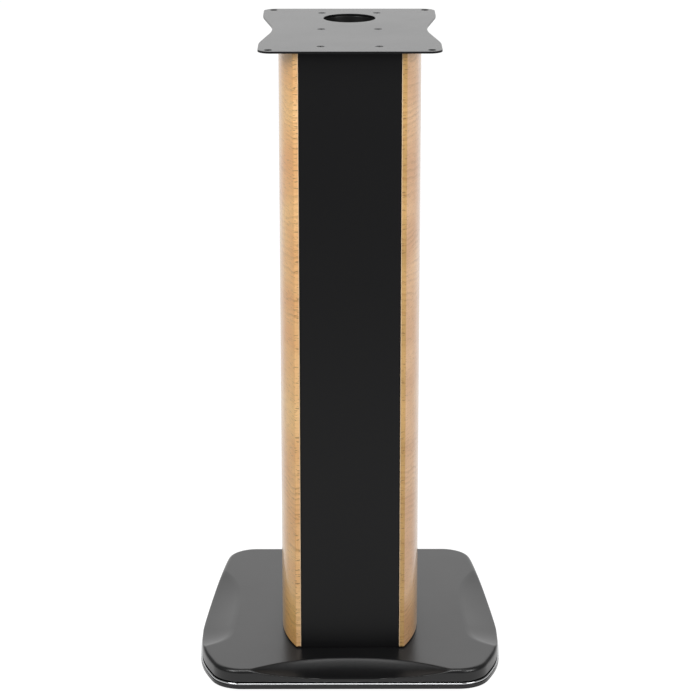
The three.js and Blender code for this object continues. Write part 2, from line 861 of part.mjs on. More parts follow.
const sleeveBottom = topBlockBottom - sleeveTail;
const sleeve = tube(cableHoleRadius, sleeveOuterRadius, sleeveBottom, columnTop, 40);
place('cable_sleeve', sleeve, finishes.plastic(), [0, cableHoleY, 0]);

plateScrewPlaces.forEach(([x, y], i) => {
  const geometry = flipped(screwGeometry(plateScrew, plateScrewLength, 12));
  place(`plate_screw_${i + 1}`, geometry, finishes.blackSteel(), [x, y, topPlateTop - headSink]);
});

slabScrewPlaces.forEach(([x, y], i) => {
  const geometry = screwGeometry(slabScrew, slabScrewLength, 10);
  place(`slab_screw_${i + 1}`, geometry, finishes.steel(), [x, y, basePlateBottom + headSink]);
});

columnBoltPlaces.forEach(([x, y], i) => {
  const bolt = screwGeometry(columnBolt, columnBoltLength, 12);
  place(`column_bolt_${i + 1}`, bolt, finishes.steel(), [x, y, basePlateBottom + headSink]);
  const bore = columnBolt.shankRadius + boreGap;
  const insert = tube(bore, columnBolt.shankRadius + insertWall, 0, insertLength, 12);
  place(`column_insert_${i + 1}`, insert, finishes.brass(), [x, y, columnBottom + seatGap]);
});

footPlaces.forEach(([x, y], i) => {
  const discUnderside = padFloor + seatGap;
  place(`foot_stud_${i + 1}`, studGeometry(), finishes.steel(), [x, y, discUnderside]);
  place(`foot_pad_${i + 1}`, padGeometry(), finishes.rubber(), [x, y, 0]);
  place(`foot_nut_${i + 1}`, footNutGeometry(), finishes.steel(), [x, y, slabBottom]);
});

export default stand;
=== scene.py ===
"""Speaker stand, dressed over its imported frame: smooth lacquered base with scooped edges, bowed
wood sides, black boards, waisted steel plate and detailed fasteners. Shapes are worked out in
millimetres and made in metres, in the frame's own place."""

import math

import bmesh
import bpy
import numpy as np
from mathutils import Matrix, Vector


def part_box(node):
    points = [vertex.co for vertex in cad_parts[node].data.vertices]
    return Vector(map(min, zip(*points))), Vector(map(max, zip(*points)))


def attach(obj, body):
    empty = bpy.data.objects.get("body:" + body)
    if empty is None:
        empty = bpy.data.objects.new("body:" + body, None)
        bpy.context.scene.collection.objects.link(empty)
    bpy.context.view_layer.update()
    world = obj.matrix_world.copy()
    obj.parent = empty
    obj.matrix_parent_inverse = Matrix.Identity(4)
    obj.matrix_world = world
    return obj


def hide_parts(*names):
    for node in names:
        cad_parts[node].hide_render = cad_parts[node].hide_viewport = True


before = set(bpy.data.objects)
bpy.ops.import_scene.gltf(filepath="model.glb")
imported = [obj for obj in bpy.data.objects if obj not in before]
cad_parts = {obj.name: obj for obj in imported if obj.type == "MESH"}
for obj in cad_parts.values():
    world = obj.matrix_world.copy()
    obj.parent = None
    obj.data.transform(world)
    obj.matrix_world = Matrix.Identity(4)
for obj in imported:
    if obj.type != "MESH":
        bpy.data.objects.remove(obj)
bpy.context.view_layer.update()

MM = 0.001

# ---------------------------------------------------------------- sizes, in millimetres

SEAT_GAP = 0.3
BORE_GAP = 0.35
HEAD_SINK = 0.15
HEAD_RIM = 0.25

# Points of an outline, and corners of a mesh, that lie nearer than these are one
SAME_POINT = 0.0001
WELD = 0.0004

# Heights
BASE_PLATE = (3.0, 7.0)
TRIM = (7.3, 9.1)
SLAB = (7.3, 22.1)
SLAB_WALL_FOOT = 10.2
GROOVE_TOP = 9.4
COLUMN = (22.4, 607.7)
TOP_PLATE = (608.0, 610.0)

# Base, seen from above
BASE_HALF_DEPTH = 164.5
BASE_FRONT_HALF = 103.8
BASE_REAR_HALF = 98.6
BASE_CORNER_RADIUS = 31.3
FRONT_CORNER_SWEEP = 68
REAR_CORNER_SWEEP = 78
BASE_WIDEST_HALF = 146.9
BASE_WIDEST_Y = -53.6
FRONT_CORNER_PULL = 0.358
FRONT_SIDE_PULL = 0.53
REAR_SIDE_PULL = 0.127
BASE_PLATE_EDGE = 0.5
TRIM_WIDTH = 12.0

# Slab
SLAB_INSET = 1.1
SLAB_DRAFT = 0.5
SLAB_FILLET = 4.0
SLAB_UNDERCUT = 0.3
SLAB_SPINE = (0.66, 0.68)
SHADOW_DEPTH = 2.2
TRIM_DROP = 0.2
FRONT_SCOOP = dict(
    middle=0.0, ahead=99.0, behind=99.0, reach=30.0, depth=8.6,
    fall=3, taper=2.3, hook=0.4, soft=0.8,
)
SIDE_SCOOP = dict(
    middle=-50.0, ahead=54.0, behind=150.0, reach=30.0, depth=4.2,
    fall=3, taper=3.5, hook=0.0, soft=0.8,
)
SCOOP_SHARPEST = 0.25
SCOOP_SHALLOWEST = 0.000001

# The slab's skin is found along rays from its spine, closest over the fillet and the scoops. These
# are the numbers of some rays, and their slopes in degrees.
RAY_NUMBERS = (0, 22, 48, 98, 106)
RAY_SLOPES = (0.6, 11.0, 19.0, 50.0, 90.0)
RAY_LONGEST = 90.0
RAY_HALVINGS = 34

# Spacing of the points round each part of the base
SLAB_SPACING = 2.0
PLATE_SPACING = 3.0
TRIM_SPACING = 2.5

# Column
SIDE_WIDEST_HALF = 66.9
SIDE_BOW_RADIUS = 171.0
SIDE_FLAT_HALF = 40.0
SIDE_THICKNESS = 8.0
COLUMN_HALF_DEPTH = 109.0
WOOD_INNER = 47.56
WOOD_ARRIS = 0.6
OUTER_ARRIS = 0.78
PANEL_END_ROUND = 1.3
BOARD_HALF_WIDTH = 47.26
BOARD_FACE = 108.0
BOARD_BACK = 99.0
BOARD_ARRIS = 0.5
BACK_CHAMFER = 0.2

# Top plate
PLATE_HALF_WIDTH = 84.45
PLATE_HALF_DEPTH = 119.2
PLATE_CORNER_RADIUS = 12.0
PLATE_EDGE = 0.4
WAIST_DEPTH = 10.8
WAIST_END_Y = 74.0
WAIST_BOTTOM_Y = 22.0
WAIST_SLOPE = 0.167
WAIST_BLEND = 8.0
CORNER_HOLE = (74.7, 110.9)
CORNER_HOLE_RADIUS = 3.5
CORNER_HOLE_EDGE = 0.2
CABLE_HOLE_RADIUS = 25.2
CABLE_HOLE_Y = 63.2
CABLE_HOLE_EDGE = 0.35
SLEEVE_WALL = 1.5
SLEEVE_FOOT = 571.7
SLEEVE_CHAMFER = 0.4
SLEEVE_LIP = ((0.5, 0.0), (0.15, 0.15), (0.0, 0.5))

# Cable outlet
OUTLET_HALF_WIDTH = 26.0
OUTLET_HALF_HEIGHT = 12.0
OUTLET_Z = 82.4
BUSH_WALL = 1.6
BUSH_LIP = 2.4
BUSH_SOFT = 0.6
BUSH_FACE = (108.3, 109.7)

# Fasteners and feet
PLATE_SCREW = dict(head=3.3, shank=1.75, depth=1.55, pitch=1.4, recess=1.7, recess_depth=1.2)
SLAB_SCREW = dict(head=4.0, shank=2.0, depth=2.0, pitch=1.6, recess=2.0, recess_depth=1.5)
COLUMN_BOLT = dict(head=6.0, shank=3.0, depth=3.0, pitch=1.0, recess=2.3, recess_depth=2.4)
BOLT_POINT = 6.0
FOOT_STUD = dict(head=11.0, shank=4.0, depth=1.3, pitch=1.25, recess=1.0, recess_depth=1.0)
STUD_POINT = 8.0
STUD_THREAD = 0.42
STUD_THREAD_START = 0.4
DISC_EDGE = 0.15
SCREW_THREAD = 0.16
SCREW_THREAD_START = 1.2
THREAD_ROW = 0.3
NUT_FLANGE_RADIUS = 10.5
NUT_FLANGE = 1.5
NUT_BARREL_RADIUS = 5.6

# Rubber pad: the grooves of its sole, and how its edge and its rim are rounded
PAD_WALL = 1.5
PAD_FLOOR = 1.0
PAD_RIM = 2.7
PAD_CENTRE = 0.02
PAD_CHAMFER = 0.2
PAD_GROOVES = (4.0, 8.0)
PAD_GROOVE = ((-0.8, 0.0), (-0.5, 0.35), (0.5, 0.35), (0.8, 0.0))
PAD_EDGE = ((0.6, 0.0), (0.2, 0.15), (0.0, 0.6))
PAD_LIP = ((0.0, 0.5), (0.15, 0.12), (0.5, 0.0))



def centre_of(node):
    """Middle of a node, seen from above, in millimetres."""
    low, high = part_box(node)
    return (low[0] + high[0]) / 2 / MM, (low[1] + high[1]) / 2 / MM


def span_of(node):
    """Lowest and highest point of a node, in millimetres."""
    low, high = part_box(node)
    return low[2] / MM, high[2] / MM


PLATE_SCREWS = [f"plate_screw_{i}" for i in range(1, 7)]
SLAB_SCREWS = [f"slab_screw_{i}" for i in range(1, 9)]
COLUMN_BOLTS = [f"column_bolt_{i}" for i in range(1, 5)]
FOOT_STUDS = [f"foot_stud_{i}" for i in range(1, 5)]
FOOT_BODIES = ["foot_front_left", "foot_front_right", "foot_rear_left", "foot_rear_right"]

# ---------------------------------------------------------------- outlines


def arc(cx, cy, radius, start, end, steps):
    """Points of an arc between two angles in degrees."""
    angles = np.radians(np.linspace(start, end, steps + 1))
    return [(cx + radius * math.cos(a), cy + radius * math.sin(a)) for a in angles]


def bezier(controls, steps):
    """Points of a quadratic or cubic curve."""
    degree = len(controls) - 1
    points = []
    for t in np.linspace(0, 1, steps + 1):
        x = y = 0.0
        for i, (cx, cy) in enumerate(controls):
            weight = math.comb(degree, i) * t**i * (1 - t) ** (degree - i)
            x += weight * cx
            y += weight * cy
        points.append((x, y))
    return points


def tidy_path(points):
    """The path without points that lie on top of the one before."""
    kept = [points[0]]
    for point in points[1:]:
        if math.dist(point, kept[-1]) > SAME_POINT:
            kept.append(point)
    return kept


def mirrored(half):
    """Right half of an outline, front to rear, closed with its mirror image."""
    half = tidy_path(half)
    return half + [(-x, y) for x, y in reversed(half)]


def evenly(points, spacing):
    """A closed outline with its points set out again at an even spacing."""
    ring = np.array(points + points[:1])
    run = np.concatenate([[0], np.cumsum(np.linalg.norm(np.diff(ring, axis=0), axis=1))])
    count = int(round(run[-1] / spacing))
    places = np.linspace(0, run[-1], count, endpoint=False)
    xs = np.interp(places, run, ring[:, 0])
    ys = np.interp(places, run, ring[:, 1])
    return list(zip(xs.tolist(), ys.tolist()))


def outward_steps(points):
    """For each point, the step that moves both of its edges out by one unit."""
    ring = np.array(points)
    before = ring - np.roll(ring, 1, axis=0)
    after = np.roll(ring, -1, axis=0) - ring
    before /= np.linalg.norm(before, axis=1)[:, None]
    after /= np.linalg.norm(after, axis=1)[:, None]
    both = np.stack([before[:, 1] + after[:, 1], -before[:, 0] - after[:, 0]], axis=1)
    return both * (2 / (both**2).sum(axis=1))[:, None]


def inset(points, distance):
    """The outline drawn in by a distance."""
    moved = np.array(points) - outward_steps(points) * distance
    return [tuple(p) for p in moved.tolist()]


def base_outline():
    """Outline of the base, with bowed sides that are widest ahead of the middle."""
    sweep_front = math.radians(FRONT_CORNER_SWEEP)
    sweep_rear = math.radians(REAR_CORNER_SWEEP)
    radius = BASE_CORNER_RADIUS
    front_y = radius - BASE_HALF_DEPTH
    rear_y = BASE_HALF_DEPTH - radius
    front_end = (
        BASE_FRONT_HALF + radius * math.sin(sweep_front),
        front_y - radius * math.cos(sweep_front),
    )
    rear_end = (
        BASE_REAR_HALF + radius * math.sin(sweep_rear),
        rear_y + radius * math.cos(sweep_rear),
    )
    front_length = BASE_WIDEST_Y - front_end[1]
    front_run = front_length * FRONT_CORNER_PULL
    rear_run = (rear_end[1] - BASE_WIDEST_Y) * REAR_SIDE_PULL
    half = [(0.0, -BASE_HALF_DEPTH)]
    half += arc(BASE_FRONT_HALF, front_y, radius, -90, FRONT_CORNER_SWEEP - 90, 20)
    half += bezier(
        [
            front_end,
            (
                front_end[0] + front_run * math.cos(sweep_front),
                front_end[1] + front_run * math.sin(sweep_front),
            ),
            (BASE_WIDEST_HALF, BASE_WIDEST_Y - front_length * FRONT_SIDE_PULL),
            (BASE_WIDEST_HALF, BASE_WIDEST_Y),
        ],
        40,
    )
    half += bezier(
        [
            (BASE_WIDEST_HALF, BASE_WIDEST_Y),
            (BASE_WIDEST_HALF, BASE_WIDEST_Y + rear_run),
            (
                rear_end[0] + rear_run * math.cos(sweep_rear),
                rear_end[1] - rear_run * math.sin(sweep_rear),
            ),
            rear_end,
        ],
        60,
    )
    half += arc(BASE_REAR_HALF, rear_y, radius, 90 - REAR_CORNER_SWEEP, 90, 24)
    return tidy_path(mirrored(half)[1:])


def plate_outline():
    """Outline of the top plate, with a shallow waist in each side."""
    corner_x = PLATE_HALF_WIDTH - PLATE_CORNER_RADIUS
    corner_y = PLATE_HALF_DEPTH - PLATE_CORNER_RADIUS
    waist_x = PLATE_HALF_WIDTH - WAIST_DEPTH
    bottom_x = waist_x + WAIST_BOTTOM_Y * WAIST_SLOPE / 2
    leaned_x = PLATE_HALF_WIDTH - WAIST_BLEND * WAIST_SLOPE
    quarter = [
        (PLATE_HALF_WIDTH, -WAIST_END_Y - WAIST_BLEND),
        (PLATE_HALF_WIDTH, -WAIST_END_Y),
        (leaned_x, -WAIST_END_Y + WAIST_BLEND),
    ]
    half = arc(corner_x, -corner_y, PLATE_CORNER_RADIUS, -90, 0, 18)
    half += bezier(quarter, 12)
    half += bezier(
        [
            (bottom_x, -WAIST_BOTTOM_Y),
            (bottom_x - WAIST_BOTTOM_Y * WAIST_SLOPE, 0.0),
            (bottom_x, WAIST_BOTTOM_Y),
        ],
        24,
    )
    half += [(x, -y) for x, y in reversed(bezier(quarter, 12))]
    half += arc(corner_x, corner_y, PLATE_CORNER_RADIUS, 0, 90, 18)
    return mirrored(half)


def bow_at(y, offset=0.0):
    """Distance of the wood's outer face from the middle plane, less an offset square to it."""
    past = max(abs(y) - SIDE_FLAT_HALF, 0.0)
    radius = SIDE_BOW_RADIUS - offset
    return SIDE_WIDEST_HALF - SIDE_BOW_RADIUS + math.sqrt(radius * radius - past * past)


def side_panel_outline():
    """Section of the right-hand wood side, from its front inner arris round the outside."""
    end = COLUMN_HALF_DEPTH
    edge_x = bow_at(end)
    rise = OUTER_ARRIS
    points = arc(WOOD_INNER + WOOD_ARRIS, -end + WOOD_ARRIS, WOOD_ARRIS, 180, 270, 4)
    corner = [(edge_x - rise, -end), (edge_x, -end), (bow_at(end - rise), -end + rise)]
    front_corner = bezier(corner, 5)
    points += front_corner
    points += [(bow_at(y), y) for y in np.linspace(-end + rise, -SIDE_FLAT_HALF, 36)]
    points += [(bow_at(y), y) for y in np.linspace(SIDE_FLAT_HALF, end - rise, 36)]
    points += [(x, -y) for x, y in reversed(front_corner)]
    points += arc(WOOD_INNER + WOOD_ARRIS, end - WOOD_ARRIS, WOOD_ARRIS, 90, 180, 4)
    rear_half = np.linspace(BOARD_BACK, SIDE_FLAT_HALF, 20)
    for y in [*rear_half, *-rear_half[::-1]]:
        points.append((max(bow_at(y, SIDE_THICKNESS), WOOD_INNER), float(y)))
    return tidy_path(points)


def stadium(half_width, half_height):
    """Flat oval round the origin."""
    flat = half_width - half_height
    return arc(flat, 0, half_height, -90, 90, 24) + arc(-flat, 0, half_height, 90, 270, 24)


def circle(cx, cy, radius, sides):
    """Points of a whole circle."""
    return arc(cx, cy, radius, 0, 360, sides)[:-1]


# ---------------------------------------------------------------- mesh helpers


def at(points, height):
    """An outline lifted to a height."""
    return [(x, y, height) for x, y in points]


def skin(bm, rings, closed=False):
    """Joins rings of equal length with a band of faces, and gives the first and last ring."""
    made = [[bm.verts.new(p) for p in ring] for ring in rings]
    pairs = list(zip(made, made[1:]))
    if closed:
        pairs.append((made[-1], made[0]))
    for low, high in pairs:
        count = len(low)
        for i in range(count):
            j = (i + 1) % count
            bm.faces.new((low[i], low[j], high[j], high[i]))
    return made[0], made[-1]


def cap(bm, rings):
    """Fills the flat area inside the first ring and outside the others."""
    edges = []
    for ring in rings:
        for i, vert in enumerate(ring):
            edges.append(bm.edges.get((vert, ring[(i + 1) % len(ring)])))
    bmesh.ops.triangle_fill(bm, use_beauty=True, use_dissolve=False, edges=edges)


def solid_of(bm, rings):
    """Joins rings and closes both ends."""
    low, high = skin(bm, rings)
    cap(bm, [low])
    cap(bm, [high])


def rounding(radius, steps=3):
    """Fall and inset round an arris, from its side to its top."""
    turns = [math.radians(90 * i / steps) for i in range(steps + 1)]
    return [(radius * (1 - math.sin(a)), radius * (1 - math.cos(a))) for a in turns]


def edge_levels(bottom, top, radius):
    """Height and inset up the edge of a plate whose arrises are rounded."""
    low = [(bottom + fall, draw) for fall, draw in reversed(rounding(radius))]
    return low + [(top - fall, draw) for fall, draw in rounding(radius)]


def sheet(bm, outline, levels, holes):
    """A flat plate with holes. Each hole is a list of rings, from the plate's underside up."""
    low, high = skin(bm, [at(inset(outline, draw), z) for z, draw in levels])
    lows = [low]
    highs = [high]
    for rings in holes:
        first, last = skin(bm, rings)
        lows.append(first)
        highs.append(last)
    cap(bm, lows)
    cap(bm, highs)


def turned(x, y, steps, sides):
    """Rings round an upright axis, from height and radius pairs."""
    return [at(circle(x, y, radius, sides), z) for z, radius in steps]


def new_object(name, data):
    """An object in the scene that holds a mesh, a lamp or the camera."""
    made = bpy.data.objects.new(name, data)
    bpy.context.collection.objects.link(made)
    return made


def shaded(name, mesh, sharp):
    """An object with smooth faces, apart from edges sharper than an angle in degrees."""
    mesh.shade_smooth()
    mesh.set_sharp_from_angle(angle=math.radians(sharp))
    return new_object(name, mesh)


def set_in_frame(piece, body, replaced):
    """Says which body a piece rides on, which nodes it stands for."""
    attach(piece, body)
    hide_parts(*replaced)


def finish_piece(name, bm, body, replaced, material, sharp=32):
    """Makes a shaded object from a bmesh, with its flat faces shaded flat, and sets it in the frame."""
    bmesh.ops.remove_doubles(bm, verts=bm.verts, dist=WELD)
    bmesh.ops.recalc_face_normals(bm, faces=bm.faces)
    bmesh.ops.scale(bm, vec=(MM, MM, MM), verts=bm.verts)
    mesh = bpy.data.meshes.new(name)
    bm.to_mesh(mesh)
    bm.free()
    piece = shaded(name, mesh, sharp)
    mesh.materials.append(material)
    flats = piece.modifiers.new("flat_faces", "WEIGHTED_NORMAL")
    flats.keep_sharp = True
    dressed = bpy.context.evaluated_depsgraph_get()
    piece_mesh = bpy.data.meshes.new_from_object(piece.evaluated_get(dressed))
    piece.modifiers.clear()
    piece.data = piece_mesh
    bpy.data.meshes.remove(mesh)
    piece_mesh.name = name
    set_in_frame(piece, body, replaced)


# ---------------------------------------------------------------- material helpers


class Nodes:
    """Adds nodes to a tree, with their links, in one call."""

    def __init__(self, tree):
        self.tree = tree

    def add(self, kind, links=None, **settings):
        """A new node. Each of its sockets is linked to another socket, or set to a plain value."""
        node = self.tree.nodes.new(kind)
        for key, value in settings.items():
            setattr(node, key, value)
        for socket, source in (links or {}).items():
            target = node.inputs[socket]
            if isinstance(source, bpy.types.NodeSocket):
                self.tree.links.new(source, target)
            else:
                target.default_value = source
        return node

    def math(self, operation, *sources, clamp=False):
        links = dict(enumerate(sources))
        return self.add("ShaderNodeMath", links, operation=operation, use_clamp=clamp).outputs[0]

    def plus(self, first, second):
        return self.math("ADD", first, second)

    def less(self, first, second):
        return self.math("SUBTRACT", first, second)

    def times(self, first, second):
        return self.math("MULTIPLY", first, second)

    def over(self, first, second):
        return self.math("DIVIDE", first, second)

    def times_plus(self, value, share, start):
        return self.math("MULTIPLY_ADD", value, share, start)

    def step(self, value, low, high):
        """0 below low, 1 above high, and smooth between them."""
        links = {"Value": value, "From Min": low, "From Max": high}
        return self.add("ShaderNodeMapRange", links, interpolation_type="SMOOTHSTEP").outputs[0]

    def until(self, value, low, high):
        """1 below low, 0 above high, and smooth between them."""
        return self.less(1.0, self.step(value, low, high))

    def noise(self, vector, scale, detail=2.0, roughness=0.5):
        links = {"Vector": vector, "Scale": scale, "Detail": detail, "Roughness": roughness}
        return self.add("ShaderNodeTexNoise", links).outputs["Fac"]

    def stretch(self, vector, scale, shift=(0, 0, 0)):
        links = {"Vector": vector, "Scale": scale, "Location": shift}
        return self.add("ShaderNodeMapping", links).outputs[0]

    def mix(self, factor, first, second):
        links = {0: factor, 6: first, 7: second}
        return self.add("ShaderNodeMix", links, data_type="RGBA").outputs[2]

    def parts(self, vector):
        return self.add("ShaderNodeSeparateXYZ", {0: vector}).outputs


SOCKET_KINDS = {float: "NodeSocketFloat", int: "NodeSocketInt", bool: "NodeSocketBool"}


def add_inputs(tree, inputs):
    """Named inputs of a tree, each with the value that it has until it is given one."""
    for label, value in inputs.items():
        kind = SOCKET_KINDS[type(value)]
        tree.interface.new_socket(label, in_out="INPUT", socket_type=kind).default_value = value


def shader_group(name, inputs, outputs, build):
    """A shader node group. build(nodes, sockets) gives the sockets that feed its outputs."""
    group = bpy.data.node_groups.new(name, "ShaderNodeTree")
    group.interface.new_socket("Place", in_out="INPUT", socket_type="NodeSocketVector")
    add_inputs(group, inputs)
    for label in outputs:
        group.interface.new_socket(label, in_out="OUTPUT", socket_type="NodeSocketFloat")
    nodes = Nodes(group)
    results = build(nodes, nodes.add("NodeGroupInput").outputs)
    nodes.add("NodeGroupOutput", dict(enumerate(results)))
    return group


def build_sprayed_skin(nodes, given):
    """Orange peel of a sprayed coat, and the slow drift of its gloss."""
    peel = nodes.noise(given["Place"], given["Peel Scale"], 2.0, 0.45)
    drift = nodes.noise(given["Place"], given["Haze Scale"], 4.0, 0.6)
    return peel, nodes.times(nodes.less(drift, 0.5), given["Haze"])


SPRAYED_SKIN = shader_group(
    "sprayed_skin",
    {"Peel Scale": 900.0, "Haze Scale": 14.0, "Haze": 0.07},
    ["Height", "Haze"],
    build_sprayed_skin,
)


def build_light_dust(nodes, given):
    """Specks and a thin film that have settled on faces that look up."""
    normal = nodes.add("ShaderNodeNewGeometry").outputs["Normal"]
    facing = nodes.step(nodes.parts(normal)["Z"], 0.6, 0.98)
    specks = nodes.step(nodes.noise(given["Place"], given["Speck Scale"], 1.0, 0.4), 0.72, 0.8)
    film = nodes.noise(given["Place"], given["Film Scale"], 5.0, 0.65)
    amount = nodes.times_plus(specks, given["Specks"], nodes.times(film, given["Film"]))
    return (nodes.times(amount, facing),)


LIGHT_DUST = shader_group(
    "light_dust",
    {"Speck Scale": 1500.0, "Film Scale": 22.0, "Specks": 0.05, "Film": 0.012},
    ["Dust"],
    build_light_dust,
)


def build_wood_figure(nodes, given):
    """Grain that runs along X of its place: fibres, growth lines, short pores, slow tone."""
    seed = nodes.add("ShaderNodeCombineXYZ", {"Z": given["Seed"]}).outputs[0]
    links = {0: given["Place"], 1: seed}
    moved = nodes.add("ShaderNodeVectorMath", links, operation="ADD").outputs[0]

    def drawn_out(scale, shift, detail, roughness):
        return nodes.noise(nodes.stretch(moved, scale, shift), 1.0, detail, roughness)

    warp = drawn_out((26, 15, 1), (0, 0, 0), 2.0, 0.5)
    crowd = drawn_out((5, 9, 1), (4, 9, 2), 1.0, 0.4)
    bent = nodes.times_plus(warp, given["Wander"], nodes.parts(moved)["Y"])
    phase = nodes.times_plus(crowd, given["Crowding"], nodes.over(bent, given["Ring Spacing"]))
    within = nodes.math("FRACT", phase)
    late = nodes.times(nodes.step(within, 0.35, 0.9), nodes.step(within, 1.0, 0.92))
    count = nodes.math("FLOOR", phase)
    each = nodes.add("ShaderNodeTexWhiteNoise", {"W": count}, noise_dimensions="1D")
    groups = nodes.step(drawn_out((14, 30, 1), (1, 3, 7), 2.0, 0.5), 0.4, 0.6)
    strength = nodes.times(nodes.times_plus(each.outputs["Value"], 0.8, 0.2), groups)
    fibre = drawn_out((60, 1300, 1), (0, 0, 0), 3.0, 0.6)
    pores = nodes.step(drawn_out((190, 900, 1), (5, 2, 4), 1.0, 0.5), 0.6, 0.7)
    tone = nodes.step(drawn_out((13, 25, 1), (8, 1, 3), 3.0, 0.5), 0.18, 0.82)
    return nodes.times(late, strength), fibre, pores, tone


WOOD_FIGURE = shader_group(
    "wood_figure",
    {"Seed": 0.0, "Ring Spacing": 0.0045, "Wander": 0.012, "Crowding": 9.0},
    ["Rings", "Fibre", "Pores", "Tone"],
    build_wood_figure,
)


def build_worked_metal(nodes, given):
    """Fine marks of turning or drawing, with slow clouds from plating."""
    lines = nodes.noise(nodes.stretch(given["Place"], (400, 400, 5200)), 1.0, 2.0, 0.6)
    return lines, nodes.noise(given["Place"], given["Cloud Scale"], 3.0, 0.55)


WORKED_METAL = shader_group(
    "worked_metal", {"Cloud Scale": 300.0}, ["Height", "Clouds"], build_worked_metal
)


class Finish(Nodes):
    """A material with its shader ready, and the groups above to place in it."""

    def __init__(self, name, **sockets):
        self.material = bpy.data.materials.new(name)
        self.material.use_nodes = True
        super().__init__(self.material.node_tree)
        self.shader = self.tree.nodes["Principled BSDF"]
        self.place = self.add("ShaderNodeTexCoord").outputs["Object"]
        for key, value in sockets.items():
            self.shader.inputs[key.replace("_", " ")].default_value = value

    def group(self, tree, **sockets):
        links = {key.replace("_", " "): value for key, value in sockets.items()}
        links["Place"] = self.place
        return self.add("ShaderNodeGroup", links, node_tree=tree).outputs

    def feed(self, socket, source):
        self.tree.links.new(source, self.shader.inputs[socket])

    def bump(self, height, strength, distance):
        links = {"Height": height, "Strength": strength, "Distance": distance}
        self.feed("Normal", self.add("ShaderNodeBump", links).outputs[0])


def paint(colour, share=1.0):
    """A colour made darker or lighter by a share, as a colour socket takes it."""
    return (*[c * share for c in colour], 1)


DUST = (0.35, 0.35, 0.36)


def sprayed_black(name, colour, rough, specular, peel):
    """Black sprayed coat: near-black colour with drifting gloss, orange peel and a little dust.
    peel is the scale of its orange peel, and the strength and depth of the bump."""
    scale, strength, depth = peel
    finish = Finish(name, Specular_IOR_Level=specular)
    coat = finish.group(SPRAYED_SKIN, Peel_Scale=scale)
    dust = finish.group(LIGHT_DUST)["Dust"]
    tint = finish.mix(coat["Haze"], paint(colour), paint(colour, 1.5))
    finish.feed("Base Color", finish.mix(dust, tint, paint(DUST)))
    finish.feed("Roughness", finish.math("ADD", coat["Haze"], rough, clamp=True))
    finish.bump(coat["Height"], strength, depth)
    return finish.material


# The wood's own tones, a painted highlight for its front arris, a painted contact shadow for its foot,
# and its grey in the mirror of the black base
FIBRE_TONE = (0.42, 0.22, 0.09)
RING_TONE = (0.42, 0.19, 0.06)
PORE_TONE = (0.24, 0.12, 0.05)
# Painted highlight: pale colour along the inner front arris
ARRIS_HIGHLIGHT_TONE = (0.95, 0.74, 0.5)
# Painted contact shadow: near-black colour for the foot of the wood
FOOT_SHADE_TONE = (0.02, 0.012, 0.008)
MIRRORED_TONE = (0.42, 0.41, 0.40)

# Where its flat front edge and the painted highlight on its front arris end, from the inner arris,
# and the band of painted contact shadow at its foot, in metres
LAND_END = (0.0046, 0.0062)
ARRIS_HIGHLIGHT_END = (0.0007, 0.0013)
FOOT_SHADE_BAND = (COLUMN[0] * MM + 0.001, COLUMN[0] * MM + 0.002)


def veneer(name, seed, face, edge):
    """Lacquered wood with its grain across the panel. Face and edge are dark and light tones."""
    finish = Finish(name, Specular_IOR_Level=0.25, Coat_Roughness=0.12)
    glance = finish.add("ShaderNodeLayerWeight", {"Blend": 0.5}).outputs["Facing"]
    finish.feed("Coat Weight", finish.times_plus(finish.step(glance, 0.72, 0.9), 0.7, 0.08))
    finish.place = finish.add("ShaderNodeUVMap", uv_map="grain").outputs[0]
    figure = finish.group(WOOD_FIGURE, Seed=seed, Ring_Spacing=0.0062, Wander=0.016)
    run = finish.parts(finish.place)
    land = finish.until(run["X"], *LAND_END)
    face_tone = finish.mix(figure["Tone"], paint(face[0]), paint(face[1]))
    edge_tone = finish.mix(figure["Tone"], paint(edge[0]), paint(edge[1]))
    wood = finish.mix(land, face_tone, edge_tone)
    marks = (
        (finish.step(figure["Fibre"], 0.42, 0.72), 0.2, FIBRE_TONE),
        (figure["Rings"], finish.times_plus(land, 0.25, 0.38), RING_TONE),
        (figure["Pores"], finish.times_plus(land, 0.4, 0.3), PORE_TONE),
        # painted highlight: a pale line along the inner front arris
        (finish.until(run["X"], *ARRIS_HIGHLIGHT_END), 0.7, ARRIS_HIGHLIGHT_TONE),
        # painted contact shadow: a dark band at the foot of the wood
        (finish.until(run["Y"], *FOOT_SHADE_BAND), 0.85, FOOT_SHADE_TONE),
        (finish.add("ShaderNodeLightPath").outputs["Is Glossy Ray"], 0.8, MIRRORED_TONE),
    )
    for mask, share, tone in marks:
        wood = finish.mix(finish.times(mask, share), wood, paint(tone))
    finish.feed("Base Color", wood)
    finish.feed("Roughness", finish.times_plus(figure["Fibre"], 0.12, 0.28))
    finish.bump(finish.less(figure["Fibre"], figure["Pores"]), 0.12, 0.0002)
    return finish.material


def raw_timber(name, colour, seed, spacing):
    """Bare wood inside the column, with its grain upright."""
    finish = Finish(name, Specular_IOR_Level=0.25)
    links = {"Vector": finish.place, "Rotation": (0, math.pi / 2, 0)}
    finish.place = finish.add("ShaderNodeMapping", links).outputs[0]
    figure = finish.group(WOOD_FIGURE, Seed=seed, Ring_Spacing=spacing, Wander=0.006)
    dark = paint(colour, 0.55)
    wood = finish.mix(finish.times(figure["Rings"], 0.6), paint(colour), dark)
    finish.feed("Base Color", finish.mix(finish.times(figure["Fibre"], 0.4), wood, dark))
    finish.feed("Roughness", finish.times_plus(figure["Fibre"], 0.2, 0.65))
    finish.bump(figure["Fibre"], 0.3, 0.0003)
    return finish.material


def metal(name, colour, rough, clouds=0.25, marks=0.2):
    """Plated or bare metal with worked marks."""
    finish = Finish(name, Metallic=1.0)
    worked = finish.group(WORKED_METAL)
    tint = finish.mix(worked["Clouds"], paint(colour), paint(colour, 1 - clouds))
    finish.feed("Base Color", tint)
    finish.feed("Roughness", finish.times_plus(worked["Clouds"], clouds * 0.5, rough))
    finish.bump(worked["Height"], marks, 0.0001)
    return finish.material


